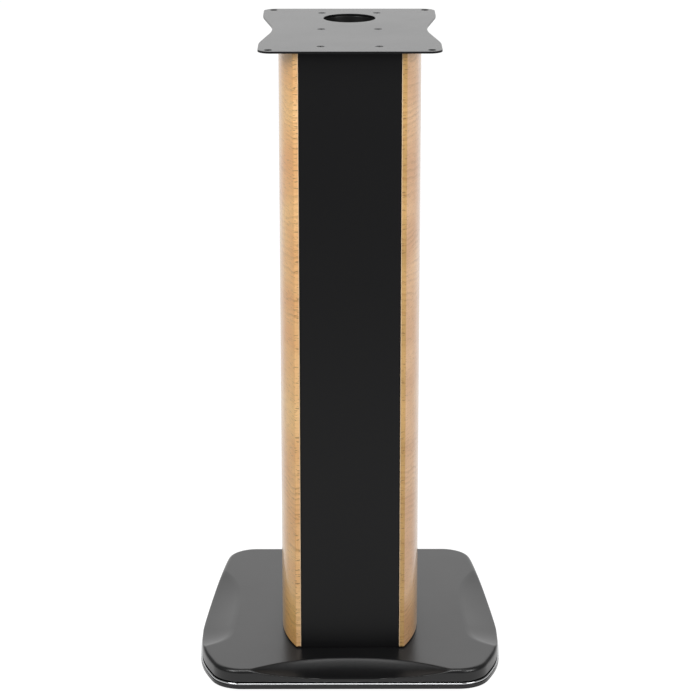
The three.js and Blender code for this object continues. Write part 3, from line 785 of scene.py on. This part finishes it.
def moulded(name, colour, rough, grain_scale, grain_depth):
    """Rubber or plastic with a fine moulded grain."""
    finish = Finish(name, Specular_IOR_Level=0.4)
    grain = finish.group(SPRAYED_SKIN, Peel_Scale=grain_scale, Haze_Scale=40.0, Haze=0.12)
    tint = finish.mix(grain["Height"], paint(colour, 0.7), paint(colour, 1.3))
    finish.feed("Base Color", tint)
    finish.feed("Roughness", finish.math("ADD", grain["Haze"], rough, clamp=True))
    finish.bump(grain["Height"], grain_depth, 0.0002)
    return finish.material


STEEL_BLACK = (0.008, 0.008, 0.0085)
SLAB_BLACK = (0.004, 0.004, 0.0043)
BOARD_BLACK = (0.007, 0.007, 0.0075)
STEEL_PEEL = (1400.0, 0.05, 0.0001)
plate_coat = sprayed_black("plate_coat", STEEL_BLACK, 0.2, 0.235, STEEL_PEEL)
slab_lacquer = sprayed_black("slab_lacquer", SLAB_BLACK, 0.29, 0.53, (500.0, 0.03, 0.0001))
base_coat = sprayed_black("base_coat", STEEL_BLACK, 0.2, 0.42, STEEL_PEEL)
board_lacquer = sprayed_black("board_lacquer", BOARD_BLACK, 0.34, 0.2, (900.0, 0.05, 0.0001))
ORANGE_FACE = ((0.84, 0.41, 0.13), (0.98, 0.60, 0.21))
ORANGE_EDGE = ((0.83, 0.46, 0.20), (0.98, 0.63, 0.30))
PINK_FACE = ((0.76, 0.41, 0.20), (0.98, 0.62, 0.33))
YELLOW_EDGE = ((0.52, 0.32, 0.12), (0.74, 0.46, 0.19))
side_veneer_left = veneer("side_veneer_left", 0.37, ORANGE_FACE, ORANGE_EDGE)
side_veneer_right = veneer("side_veneer_right", 0.83, PINK_FACE, YELLOW_EDGE)
raw_block = raw_timber("raw_block", (0.50, 0.36, 0.22), 0.11, 0.02)
raw_batten = raw_timber("raw_batten", (0.62, 0.45, 0.27), 0.59, 0.006)
bright_trim = metal("bright_trim", (0.70, 0.71, 0.72), 0.06, clouds=0.05, marks=0.02)
zinc_steel = metal("zinc_steel", (0.62, 0.63, 0.65), 0.28, clouds=0.25, marks=0.2)
black_steel = metal("black_steel", (0.045, 0.045, 0.05), 0.38, clouds=0.35, marks=0.2)
brass = metal("brass", (0.78, 0.56, 0.24), 0.26, clouds=0.2, marks=0.25)
black_moulding = moulded("black_moulding", (0.012, 0.012, 0.012), 0.34, 1800.0, 0.15)
foot_rubber = moulded("foot_rubber", (0.016, 0.016, 0.016), 0.75, 1100.0, 0.35)

# ---------------------------------------------------------------- base slab

BASE_EDGE = base_outline()


def scoop_floor(scoop, along, inward):
    """Height of a scoop's floor over the slab's top, level at the wall and steepest at its lip."""
    past = along - scoop["middle"]
    share = np.abs(past) / np.where(past < 0, scoop["ahead"], scoop["behind"])
    depth = scoop["depth"] * (1 - share ** scoop["fall"])
    solid = np.maximum(depth, SCOOP_SHALLOWEST)
    reach = scoop["reach"] * (1 - np.minimum(share, 1) ** scoop["taper"])
    reach = np.maximum(reach, np.sqrt(solid / SCOOP_SHARPEST))
    run = (np.maximum(inward, 0) / reach) ** 2
    hook = scoop["hook"] * np.minimum(solid, 1)
    rise = solid * ((1 - hook) * run + hook * run**2)
    return rise - depth


def rounded_least(a, b, radius):
    """Meeting of two surfaces, with the outer edge between them rounded."""
    both = (a > -radius) & (b > -radius)
    corner = np.hypot(a + radius, b + radius) - radius
    return np.where(both, corner, np.maximum(a, b))


def slab_points():
    """Rings of points over the slab's wall, fillet, scoops and top, from the wall's foot up."""
    edge = np.array(evenly(inset(BASE_EDGE, SLAB_INSET), SLAB_SPACING))
    outward = outward_steps(edge)
    outward /= np.linalg.norm(outward, axis=1)[:, None]
    spine = edge * np.array(SLAB_SPINE)
    reach_in = np.linalg.norm(edge - spine, axis=1)
    heading = (edge - spine) / reach_in[:, None]
    foot = SLAB_WALL_FOOT
    top = SLAB[1]
    front_y = edge[:, 1].min()

    right = edge[edge[:, 0] > 0]
    right = right[np.argsort(right[:, 1])]

    def solid(px, py, z):
        """Below zero inside the slab."""
        ahead = (edge[:, None, 0] - px) * outward[:, None, 0]
        aside = (edge[:, None, 1] - py) * outward[:, None, 1]
        lean = SLAB_DRAFT * np.clip((z - foot) / (top - foot), 0, 1)
        body = rounded_least(lean - ahead - aside, z - top, SLAB_FILLET)
        front = z - top - scoop_floor(FRONT_SCOOP, px, py - front_y)
        body = rounded_least(body, front, FRONT_SCOOP["soft"])
        inward = np.interp(py, right[:, 1], right[:, 0]) - np.abs(px)
        side = z - top - scoop_floor(SIDE_SCOOP, py, inward)
        return rounded_least(body, side, SIDE_SCOOP["soft"])

    def surface(angles):
        """Distance from the spine to the surface along each ray."""
        low = np.zeros_like(angles)
        high = np.full_like(angles, RAY_LONGEST)
        rise = np.sin(angles)
        flat = np.cos(angles)
        for _ in range(RAY_HALVINGS):
            mid = (low + high) / 2
            px = spine[:, None, 0] + heading[:, None, 0] * mid * flat
            py = spine[:, None, 1] + heading[:, None, 1] * mid * flat
            inside = solid(px, py, foot + mid * rise) < 0
            low = np.where(inside, mid, low)
            high = np.where(inside, high, mid)
        return low

    slopes = np.interp(np.arange(RAY_NUMBERS[-1] + 1), RAY_NUMBERS, RAY_SLOPES)
    angles = np.radians(np.tile(slopes, (len(edge), 1)))
    length = surface(angles)
    rings = []
    for k in range(angles.shape[1]):
        flat = length[:, k] * np.cos(angles[:, k])
        xs = spine[:, 0] + heading[:, 0] * flat
        ys = spine[:, 1] + heading[:, 1] * flat
        zs = foot + length[:, k] * np.sin(angles[:, k])
        rings.append(list(zip(xs.tolist(), ys.tolist(), zs.tolist())))
    return [tuple(p) for p in edge.tolist()], rings


def make_base_slab():
    """Slab with a rebate for the trim, bores for the bolts, and pockets for screws and nuts."""
    edge, rings = slab_points()
    bottom, top = SLAB
    rebate = TRIM_WIDTH + SEAT_GAP - SLAB_INSET
    below = [
        (bottom, rebate),
        (GROOVE_TOP, rebate),
        (GROOVE_TOP, SHADOW_DEPTH),
        (SLAB_WALL_FOOT, SHADOW_DEPTH),
        (SLAB_WALL_FOOT, SLAB_UNDERCUT),
    ]
    bm = bmesh.new()
    low, high = skin(bm, [at(inset(edge, draw), z) for z, draw in below] + rings)
    lows = [low]
    highs = [high]
    shank = COLUMN_BOLT["shank"] + BORE_GAP
    for name in COLUMN_BOLTS:
        first, last = skin(bm, turned(*centre_of(name), [(bottom, shank), (top, shank)], 28))
        lows.append(first)
        highs.append(last)
    pockets = []
    shank = SLAB_SCREW["shank"] + BORE_GAP
    for name in SLAB_SCREWS:
        roof = span_of(name)[1] + SEAT_GAP
        pockets.append(turned(*centre_of(name), [(bottom, shank), (roof, shank)], 20))
    flange = NUT_FLANGE_RADIUS + BORE_GAP
    barrel = NUT_BARREL_RADIUS + BORE_GAP
    ledge = bottom + NUT_FLANGE + SEAT_GAP
    for name in FOOT_STUDS:
        roof = span_of(name)[1] + SEAT_GAP
        steps = [(bottom, flange), (ledge, flange), (ledge, barrel), (roof, barrel)]
        pockets.append(turned(*centre_of(name.replace("stud", "nut")), steps, 36))
    for pocket in pockets:
        first, last = skin(bm, pocket)
        lows.append(first)
        cap(bm, [last])
    cap(bm, lows)
    cap(bm, highs)
    replaced = ["base_slab"]
    finish_piece("base_slab_lacquered", bm, "stand", replaced, slab_lacquer, 50)


# ---------------------------------------------------------------- base plate and trim


def make_base_plate():
    """Plate with a countersunk hole for each screw and bolt, and a plain one for each foot."""
    bottom, top = BASE_PLATE
    cone = bottom + HEAD_SINK + HEAD_RIM
    holes = []
    for names, screw, sides in ((SLAB_SCREWS, SLAB_SCREW, 28), (COLUMN_BOLTS, COLUMN_BOLT, 36)):
        wide = screw["head"] + BORE_GAP
        narrow = screw["shank"] + BORE_GAP
        neck = cone + screw["depth"] - HEAD_RIM
        steps = [(bottom, wide), (cone, wide), (neck, narrow), (top, narrow)]
        holes += [turned(*centre_of(name), steps, sides) for name in names]
    stud = FOOT_STUD["shank"] + BORE_GAP
    steps = [(bottom, stud), (top, stud)]
    holes += [turned(*centre_of(name), steps, 32) for name in FOOT_STUDS]
    bm = bmesh.new()
    outline = evenly(BASE_EDGE, PLATE_SPACING)
    sheet(bm, outline, edge_levels(bottom, top, BASE_PLATE_EDGE), holes)
    finish_piece("base_plate_coated", bm, "stand", ["base_plate"], base_coat)


def make_trim():
    """Flat ring whose outer edge is a round bead."""
    outline = evenly(BASE_EDGE, TRIM_SPACING)
    bottom = TRIM[0]
    top = TRIM[1] - TRIM_DROP
    bead = (top - bottom) / 2
    section = []
    for turn in np.radians(np.linspace(-90, 90, 13)):
        section.append((bottom + bead + bead * math.sin(turn), bead * (1 - math.cos(turn))))
    section += [(top, TRIM_WIDTH), (bottom, TRIM_WIDTH)]
    rings = [at(inset(outline, draw), height) for height, draw in section]
    bm = bmesh.new()
    skin(bm, rings, closed=True)
    finish_piece("trim_bead", bm, "stand", ["trim_ring"], bright_trim)


# ---------------------------------------------------------------- top plate and cable sleeve


def make_top_plate():
    """Waisted plate with its cable hole, corner holes and countersunk screw holes."""
    bottom, top = TOP_PLATE
    radius = CABLE_HOLE_RADIUS
    edge = CABLE_HOLE_EDGE
    steps = [(bottom, radius), (top - edge, radius), (top, radius + edge)]
    holes = [turned(0.0, CABLE_HOLE_Y, steps, 128)]
    radius = CORNER_HOLE_RADIUS
    edge = CORNER_HOLE_EDGE
    wide = radius + edge
    steps = [(bottom, wide), (bottom + edge, radius), (top - edge, radius), (top, wide)]
    for x in (-CORNER_HOLE[0], CORNER_HOLE[0]):
        for y in (-CORNER_HOLE[1], CORNER_HOLE[1]):
            holes.append(turned(x, y, steps, 40))
    wide = PLATE_SCREW["head"] + BORE_GAP
    narrow = PLATE_SCREW["shank"] + BORE_GAP
    cone = top - HEAD_SINK - HEAD_RIM
    neck = cone - PLATE_SCREW["depth"] + HEAD_RIM
    steps = [(bottom, narrow), (neck, narrow), (cone, wide), (top, wide)]
    holes += [turned(*centre_of(name), steps, 32) for name in PLATE_SCREWS]
    bm = bmesh.new()
    sheet(bm, plate_outline(), edge_levels(bottom, top, PLATE_EDGE), holes)
    finish_piece("top_plate_coated", bm, "stand", ["top_plate"], plate_coat)


def make_sleeve():
    """Cable tube with a soft lip inside its top end."""
    inner = CABLE_HOLE_RADIUS
    outer = inner + SLEEVE_WALL
    top = COLUMN[1]
    foot = SLEEVE_FOOT
    soft = SLEEVE_CHAMFER
    steps = [(foot + soft, inner)]
    steps += [(top - fall, inner + grow) for fall, grow in SLEEVE_LIP]
    steps += [(top, outer), (foot + soft, outer), (foot, outer - soft), (foot, inner + soft)]
    bm = bmesh.new()
    skin(bm, turned(0.0, CABLE_HOLE_Y, steps, 112), closed=True)
    replaced = ["cable_sleeve"]
    finish_piece("cable_sleeve_tube", bm, "stand", replaced, black_moulding)


# ---------------------------------------------------------------- column


def make_side_panel(name, node, side, material):
    """One bowed wood side, with a map whose X runs round its section and Y runs up it."""
    outline = side_panel_outline()
    count = len(outline)
    run = [0.0]
    for i in range(count):
        run.append(run[-1] + math.dist(outline[i], outline[(i + 1) % count]))
    bm = bmesh.new()
    grain = bm.loops.layers.uv.new("grain")
    levels = edge_levels(*COLUMN, PANEL_END_ROUND)
    rings = []
    for height, draw in levels:
        rings.append([bm.verts.new((side * x, y, height)) for x, y in inset(outline, draw)])
    heights = [height for height, _ in levels]
    for low, high, bottom, top in zip(rings, rings[1:], heights, heights[1:]):
        for i in range(count):
            j = (i + 1) % count
            face = bm.faces.new((low[i], low[j], high[j], high[i]))
            ends = (run[i], run[i + 1])
            corners = ((ends[0], bottom), (ends[1], bottom), (ends[1], top), (ends[0], top))
            for loop, (u, v) in zip(face.loops, corners):
                loop[grain].uv = (u * MM, v * MM)
    for ring in (rings[0], rings[-1]):
        face = bm.faces.new(ring)
        for loop in face.loops:
            loop[grain].uv = (loop.vert.co.y * MM, loop.vert.co.x * MM)
    finish_piece(name, bm, "stand", [node], material, 40)


def make_front_board():
    """Board whose front arrises are rounded."""
    wide = BOARD_HALF_WIDTH
    half = [(wide - BACK_CHAMFER, -BOARD_BACK), (wide, -BOARD_BACK - BACK_CHAMFER)]
    half += [(wide - draw, fall - BOARD_FACE) for fall, draw in rounding(BOARD_ARRIS, 4)]
    outline = mirrored(half)
    bm = bmesh.new()
    solid_of(bm, [at(outline, COLUMN[0]), at(outline, COLUMN[1])])
    replaced = ["front_board"]
    finish_piece("front_board_black", bm, "stand", replaced, board_lacquer)


def make_rear_board():
    """Board with an oval opening, made lying down and stood up at the rear of the column."""
    wide = BOARD_HALF_WIDTH
    middle = (COLUMN[0] + COLUMN[1]) / 2
    tall = (COLUMN[1] - COLUMN[0]) / 2
    outline = [(-wide, -tall), (wide, -tall), (wide, tall), (-wide, tall)]
    grow = BUSH_WALL + BORE_GAP
    oval = stadium(OUTLET_HALF_WIDTH + grow, OUTLET_HALF_HEIGHT + grow)
    opening = [(x, y + OUTLET_Z - middle) for x, y in oval]
    levels = [(BOARD_BACK, BACK_CHAMFER), (BOARD_BACK + BACK_CHAMFER, 0.0)]
    levels += [(BOARD_FACE - fall, draw) for fall, draw in rounding(BOARD_ARRIS)]
    bm = bmesh.new()
    sheet(bm, outline, levels, [[at(opening, BOARD_BACK), at(opening, BOARD_FACE)]])
    for vert in bm.verts:
        x, y, z = vert.co
        vert.co = (x, z, y + middle)
    finish_piece("rear_board_black", bm, "stand", ["rear_board"], board_lacquer)


def make_outlet_bush():
    """Lipped bush swept round the oval outlet."""
    back, face = BUSH_FACE
    lip = BUSH_WALL + BUSH_LIP
    soft = rounding(BUSH_SOFT)
    profile = [(BOARD_BACK, BACK_CHAMFER), (BOARD_BACK + BACK_CHAMFER, 0.0)]
    profile += [(face - fall, draw) for fall, draw in soft]
    profile += [(face - draw, lip - fall) for fall, draw in soft]
    profile += [(back, lip), (back, BUSH_WALL), (BOARD_BACK, BUSH_WALL)]
    rings = []
    for depth, grow in profile:
        oval = stadium(OUTLET_HALF_WIDTH + grow, OUTLET_HALF_HEIGHT + grow)
        rings.append([(x, depth, y + OUTLET_Z) for x, y in oval])
    bm = bmesh.new()
    skin(bm, rings, closed=True)
    replaced = ["outlet_bush"]
    finish_piece("outlet_bush_lipped", bm, "stand", replaced, black_moulding)


# ---------------------------------------------------------------- fasteners, by geometry nodes


class Shape(Nodes):
    """A geometry node tree with named inputs, and one for its material."""

    def __init__(self, name, inputs):
        super().__init__(bpy.data.node_groups.new(name, "GeometryNodeTree"))
        face = self.tree.interface
        face.new_socket("Geometry", in_out="INPUT", socket_type="NodeSocketGeometry")
        add_inputs(self.tree, inputs)
        face.new_socket("Material", in_out="INPUT", socket_type="NodeSocketMaterial")
        face.new_socket("Geometry", in_out="OUTPUT", socket_type="NodeSocketGeometry")
        self.given = self.add("NodeGroupInput").outputs

    def vector(self, **parts):
        return self.add("ShaderNodeCombineXYZ", parts).outputs[0]

    def identifier(self, label):
        for item in self.tree.interface.items_tree:
            if item.item_type == "SOCKET" and item.in_out == "INPUT" and item.name == label:
                return item.identifier
        raise KeyError(label)


# Corners nearer than this are joined, in metres, and the cross recess has bars this slender
SAME_CORNER = 0.000004
CROSS_BAR = 0.42


def fastener_tree():
    """Screws with a flat head at height zero, a threaded shank, a point and a drive recess. A grid
    is rolled into each: its rows run from the head's middle out to its edge and then to the point."""
    inputs = {
        "Head Radius": 0.0033,
        "Head Rim": 0.00025,
        "Head Depth": 0.0015,
        "Shank Radius": 0.00175,
        "Length": 0.024,
        "Point Length": 0.003,
        "Pitch": 0.0012,
        "Thread Depth": 0.0003,
        "Thread Start": 0.004,
        "Recess Size": 0.0018,
        "Recess Depth": 0.0012,
        "Hex Recess": False,
        "No Recess": False,
        "Flip": 0.0,
        "Seed": 3,
        "Sides": 24,
        "Rows": 90,
    }
    shape = Shape("threaded_fastener", inputs)
    given = shape.given
    plus, less, times, over = shape.plus, shape.less, shape.times, shape.over

    def more(first, second):
        return shape.math("MAXIMUM", first, second)

    def fewer(first, second):
        return shape.math("MINIMUM", first, second)

    counts = {"Vertices X": given["Sides"], "Vertices Y": given["Rows"]}
    grid = shape.add("GeometryNodeMeshGrid", {"Size X": 1.0, "Size Y": 1.0, **counts})
    place = shape.parts(shape.add("GeometryNodeInputPosition").outputs[0])
    share = plus(place["X"], 0.5)
    turn = times(share, 2 * math.pi)
    whole = plus(given["Head Radius"], given["Length"])
    run = less(times(plus(place["Y"], 0.5), whole), given["Head Radius"])
    height = more(run, 0.0)
    face = plus(given["Head Radius"], fewer(run, 0.0))
    taper = over(
        less(given["Head Radius"], given["Shank Radius"]),
        less(given["Head Depth"], given["Head Rim"]),
    )
    past_rim = more(less(height, given["Head Rim"]), 0.0)
    cone = less(given["Head Radius"], times(past_rim, taper))
    phase = less(over(height, given["Pitch"]), share)
    tooth = shape.math("ABSOLUTE", shape.times_plus(shape.math("FRACT", phase), 2.0, -1.0))
    past_start = less(height, given["Thread Start"])
    started = shape.math("DIVIDE", past_start, given["Pitch"], clamp=True)
    shank = less(given["Shank Radius"], times(times(tooth, given["Thread Depth"]), started))
    left = less(given["Length"], height)
    point = times(left, over(given["Shank Radius"], given["Point Length"]))
    radius = fewer(face, more(cone, fewer(shank, more(point, 0.0))))
    moved = shape.vector(
        X=times(radius, shape.math("COSINE", turn)),
        Y=times(radius, shape.math("SINE", turn)),
        Z=height,
    )
    links = {"Geometry": grid.outputs["Mesh"], "Position": moved}
    rolled = shape.add("GeometryNodeSetPosition", links).outputs[0]
    links = {"Geometry": rolled, "Distance": SAME_CORNER}
    closed = shape.add("GeometryNodeMergeByDistance", links).outputs[0]

    deep = times(given["Recess Depth"], 2.0)
    bar = times(given["Recess Size"], 2.0)
    thin = times(given["Recess Size"], CROSS_BAR)
    cross = shape.add("GeometryNodeMeshBoolean", operation="UNION", solver="EXACT")
    for size in (shape.vector(X=bar, Y=thin, Z=deep), shape.vector(X=thin, Y=bar, Z=deep)):
        cube = shape.add("GeometryNodeMeshCube", {"Size": size}).outputs["Mesh"]
        shape.tree.links.new(cube, cross.inputs["Mesh 2"])
    links = {"Vertices": 6, "Radius": given["Recess Size"], "Depth": deep}
    hexagon = shape.add("GeometryNodeMeshCylinder", links).outputs["Mesh"]
    links = {"Switch": given["Hex Recess"], "False": cross.outputs["Mesh"], "True": hexagon}
    recess = shape.add("GeometryNodeSwitch", links, input_type="GEOMETRY").outputs[0]
    driven = shape.add("GeometryNodeMeshBoolean", operation="DIFFERENCE", solver="EXACT")
    shape.tree.links.new(closed, driven.inputs["Mesh 1"])
    shape.tree.links.new(recess, driven.inputs["Mesh 2"])
    links = {"Switch": given["No Recess"], "False": driven.outputs["Mesh"], "True": closed}
    chosen = shape.add("GeometryNodeSwitch", links, input_type="GEOMETRY").outputs[0]

    links = {2: 0.0, 3: 2 * math.pi, "Seed": given["Seed"]}
    spin = shape.add("FunctionNodeRandomValue", links, data_type="FLOAT")
    spun = next(socket for socket in spin.outputs if socket.enabled)
    turned_by = shape.vector(X=given["Flip"], Z=spun)
    links = {"Points": given["Geometry"], "Instance": chosen, "Rotation": turned_by}
    placed = shape.add("GeometryNodeInstanceOnPoints", links).outputs[0]
    real = shape.add("GeometryNodeRealizeInstances", {"Geometry": placed}).outputs[0]
    links = {"Geometry": real, "Material": given["Material"]}
    shape.add("NodeGroupOutput", {0: shape.add("GeometryNodeSetMaterial", links).outputs[0]})
    return shape


FASTENER = fastener_tree()


def make_fasteners(name, places, body, replaced, material, sizes):
    """Sets one kind of fastener at each place and keeps the result as a plain mesh."""
    points = bpy.data.meshes.new(name + "_places")
    points.from_pydata([(x * MM, y * MM, z * MM) for x, y, z in places], [], [])
    holder = new_object(name + "_holder", points)
    grown = holder.modifiers.new("fasteners", "NODES")
    grown.node_group = FASTENER.tree
    for label, value in {**sizes, "Material": material}.items():
        grown[FASTENER.identifier(label)] = value
    evaluated = holder.evaluated_get(bpy.context.evaluated_depsgraph_get())
    mesh = bpy.data.meshes.new_from_object(evaluated)
    mesh.name = name
    holder.modifiers.clear()
    bpy.data.objects.remove(holder)
    bpy.data.meshes.remove(points)
    set_in_frame(shaded(name, mesh, 38), body, replaced)


def screw_sizes(screw, length, flip, seed, special):
    """Values for the fastener tree. The special ones take the place of the usual ones."""
    return {
        "Head Radius": screw["head"] * MM,
        "Head Rim": HEAD_RIM * MM,
        "Head Depth": screw["depth"] * MM,
        "Shank Radius": screw["shank"] * MM,
        "Length": length * MM,
        "Point Length": screw["shank"] * MM,
        "Pitch": screw["pitch"] * MM,
        "Thread Depth": SCREW_THREAD * screw["shank"] * MM,
        "Thread Start": (screw["depth"] + SCREW_THREAD_START) * MM,
        "Recess Size": screw["recess"] * MM,
        "Recess Depth": screw["recess_depth"] * MM,
        "Flip": flip,
        "Seed": seed,
        "Rows": int((screw["head"] + length) / THREAD_ROW),
        **special,
    }


def make_screws():
    """The plate's screws hang head up, and the base's screws and bolts stand head down."""
    hexagon = {"Hex Recess": True, "Point Length": BOLT_POINT * MM, "Sides": 32}
    for name, nodes, screw, flip, seed, special, slot, material in (
        ("plate_screws", PLATE_SCREWS, PLATE_SCREW, math.pi, 5, {}, "black_screw", black_steel),
        ("slab_screws", SLAB_SCREWS, SLAB_SCREW, 0.0, 8, {}, "zinc_steel", zinc_steel),
        ("column_bolts", COLUMN_BOLTS, COLUMN_BOLT, 0.0, 12, hexagon, "zinc_steel", zinc_steel),
    ):
        low, high = span_of(nodes[0])
        places = [(*centre_of(node), high if flip else low) for node in nodes]
        sizes = screw_sizes(screw, high - low, flip, seed, special)
        make_fasteners(name, places, "stand", nodes, material, sizes)


def make_feet():
    """Each foot is a stud with a disc for its head, in a rubber pad."""
    special = {
        "No Recess": True,
        "Head Rim": (FOOT_STUD["depth"] - DISC_EDGE) * MM,
        "Point Length": STUD_POINT * MM,
        "Thread Depth": STUD_THREAD * MM,
        "Thread Start": (FOOT_STUD["depth"] + STUD_THREAD_START) * MM,
        "Sides": 40,
    }
    for i, body in enumerate(FOOT_BODIES, start=1):
        stud = f"foot_stud_{i}"
        low, high = span_of(stud)
        place = [(*centre_of(stud), low)]
        sizes = screw_sizes(FOOT_STUD, high - low, 0.0, i, special)
        name = f"foot_stud_threaded_{i}"
        make_fasteners(name, place, body, [stud], zinc_steel, sizes)
        make_pad(i, body)


def make_pad(i, body):
    """Rubber cup with a soft rim and two grooves in its sole."""
    node = f"foot_pad_{i}"
    inner = FOOT_STUD["head"] + BORE_GAP
    outer = inner + PAD_WALL
    steps = [(0.0, PAD_CENTRE)]
    for groove in PAD_GROOVES:
        steps += [(rise, groove + aside) for aside, rise in PAD_GROOVE]
    steps += [(rise, outer - draw) for draw, rise in PAD_EDGE]
    steps += [(PAD_RIM - fall, outer - draw) for draw, fall in PAD_LIP]
    steps += [(PAD_RIM, inner + PAD_CHAMFER), (PAD_RIM - PAD_CHAMFER, inner)]
    steps += [(PAD_FLOOR, inner), (PAD_FLOOR, PAD_CENTRE)]
    bm = bmesh.new()
    solid_of(bm, turned(*centre_of(node), steps, 56))
    finish_piece(f"foot_pad_moulded_{i}", bm, body, [node], foot_rubber)


# ---------------------------------------------------------------- pieces that stay as they are

KEPT_FINISHES = {"bottom_block": raw_block, "top_block": raw_block}
for number, corner in enumerate(("front_left", "front_right", "rear_left", "rear_right"), start=1):
    KEPT_FINISHES[f"batten_{corner}"] = raw_batten
    KEPT_FINISHES[f"column_insert_{number}"] = brass
    KEPT_FINISHES[f"foot_nut_{number}"] = zinc_steel


def dress_kept_nodes():
    """Gives the hidden nodes that stay their own finishes."""
    for name, material in KEPT_FINISHES.items():
        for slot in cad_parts[name].material_slots:
            slot.material = material


# ---------------------------------------------------------------- studio

CAMERA_PLACE = (-0.008, -2.5053, 1.0418)
CAMERA_PITCH = 16.66
CAMERA_YAW = -0.19
CAMERA_LENS = 136.75
SENSOR = 36
FLOOR_HALF = 4.0
FLOOR_AHEAD = 1.2
FLOOR_TONES = ((0.14, 0.14, 0.14), (0.16, 0.16, 0.16))
FLOOR_GLOW = 0.98
FLOOR_GLOW_MIRRORED = -0.2
FLOOR_GLOW_SPILT = -0.76
BACKDROP_SPREAD = (0.32, 0.6)
BACKDROP_TOP = (0.54, 0.72)
BACKDROP_LIGHT = 0.89
SOFTBOX_EDGE = (0.93, 0.975)
SOFTBOX_LIGHT = 0.9
ROOM_LIGHT = 0.24
WHITE = (1, 1, 1, 1)

# Name, place, target, size and power of each lamp
LAMPS = (
    ("key", (-0.72, -0.72, 1.12), (0, 0, 0.45), (0.5, 0.5), 7.2),
    ("fill", (0.8, -0.72, 0.84), (0, 0, 0.3), (0.5, 0.5), 5.2),
    ("overhead", (0, -0.75, 1.9), (0, -0.3, 0), (0.9, 0.5), 9),
)


def make_camera():
    """Camera where the photograph was taken from."""
    lens = bpy.data.cameras.new("camera")
    lens.lens = CAMERA_LENS
    lens.sensor_width = SENSOR
    lens.clip_start = 0.05
    lens.clip_end = 60
    camera = new_object("camera", lens)
    turn = Matrix.Rotation(math.radians(CAMERA_YAW), 4, "Z")
    tip = Matrix.Rotation(math.radians(90 - CAMERA_PITCH), 4, "X")
    camera.matrix_world = Matrix.Translation(CAMERA_PLACE) @ turn @ tip
    bpy.context.scene.camera = camera


def make_floor():
    """White paper that ends a little in front of the stand, so that the blacks stay deep. It glows
    less in mirrors, and lights the stand still less."""
    bm = bmesh.new()
    bmesh.ops.create_grid(bm, x_segments=2, y_segments=2, size=FLOOR_HALF)
    bmesh.ops.translate(bm, vec=(0, FLOOR_HALF - FLOOR_AHEAD, 0), verts=bm.verts)
    mesh = bpy.data.meshes.new("floor")
    bm.to_mesh(mesh)
    bm.free()
    floor = new_object("floor", mesh)
    finish = Finish("floor_paper", Specular_IOR_Level=0.0, Roughness=1.0, Emission_Color=WHITE)
    ray = finish.add("ShaderNodeLightPath").outputs
    glow = finish.times_plus(ray["Is Glossy Ray"], FLOOR_GLOW_MIRRORED, FLOOR_GLOW)
    glow = finish.times_plus(ray["Is Diffuse Ray"], FLOOR_GLOW_SPILT, glow)
    finish.feed("Emission Strength", glow)
    mottle = finish.noise(finish.place, 3.0)
    finish.feed("Base Color", finish.mix(mottle, paint(FLOOR_TONES[0]), paint(FLOOR_TONES[1])))
    mesh.materials.append(finish.material)


def make_lamps():
    """Two small lamps ahead on either side, and a wide one overhead."""
    for name, place, target, size, power in LAMPS:
        data = bpy.data.lights.new(name, "AREA")
        data.shape = "RECTANGLE"
        data.size, data.size_y = size
        data.energy = power
        lamp = new_object(name, data)
        lamp.location = place
        aim = Vector(target) - Vector(place)
        lamp.rotation_euler = aim.to_track_quat("-Z", "Y").to_euler()


def make_world():
    """White backdrop behind the stand, a softbox overhead, and a dim room. The camera sees white
    all round."""
    world = bpy.data.worlds.new("studio")
    world.use_nodes = True
    bpy.context.scene.world = world
    nodes = Nodes(world.node_tree)
    background = world.node_tree.nodes["Background"]
    way = nodes.parts(nodes.add("ShaderNodeTexCoord").outputs["Generated"])
    across = nodes.math("ABSOLUTE", way["X"])
    spread = nodes.over(across, nodes.math("MAXIMUM", way["Y"], 0.001))
    behind = nodes.until(spread, *BACKDROP_SPREAD)
    low = nodes.until(way["Z"], *BACKDROP_TOP)
    backdrop = nodes.times(nodes.times(behind, low), BACKDROP_LIGHT)
    softbox = nodes.times(nodes.step(way["Z"], *SOFTBOX_EDGE), SOFTBOX_LIGHT)
    strength = nodes.plus(nodes.plus(backdrop, softbox), ROOM_LIGHT)
    seen = nodes.add("ShaderNodeLightPath").outputs["Is Camera Ray"]
    shown = nodes.math("MAXIMUM", strength, seen)
    world.node_tree.links.new(shown, background.inputs["Strength"])
    background.inputs["Color"].default_value = WHITE


make_camera()
make_world()
make_lamps()
make_floor()
make_base_slab()
make_base_plate()
make_trim()
make_top_plate()
make_sleeve()
make_side_panel("side_panel_bowed_right", "side_panel_right", 1, side_veneer_right)
make_side_panel("side_panel_bowed_left", "side_panel_left", -1, side_veneer_left)
make_front_board()
make_rear_board()
make_outlet_bush()
make_screws()
make_feet()
dress_kept_nodes()
bpy.context.scene.view_settings.view_transform = "Standard"
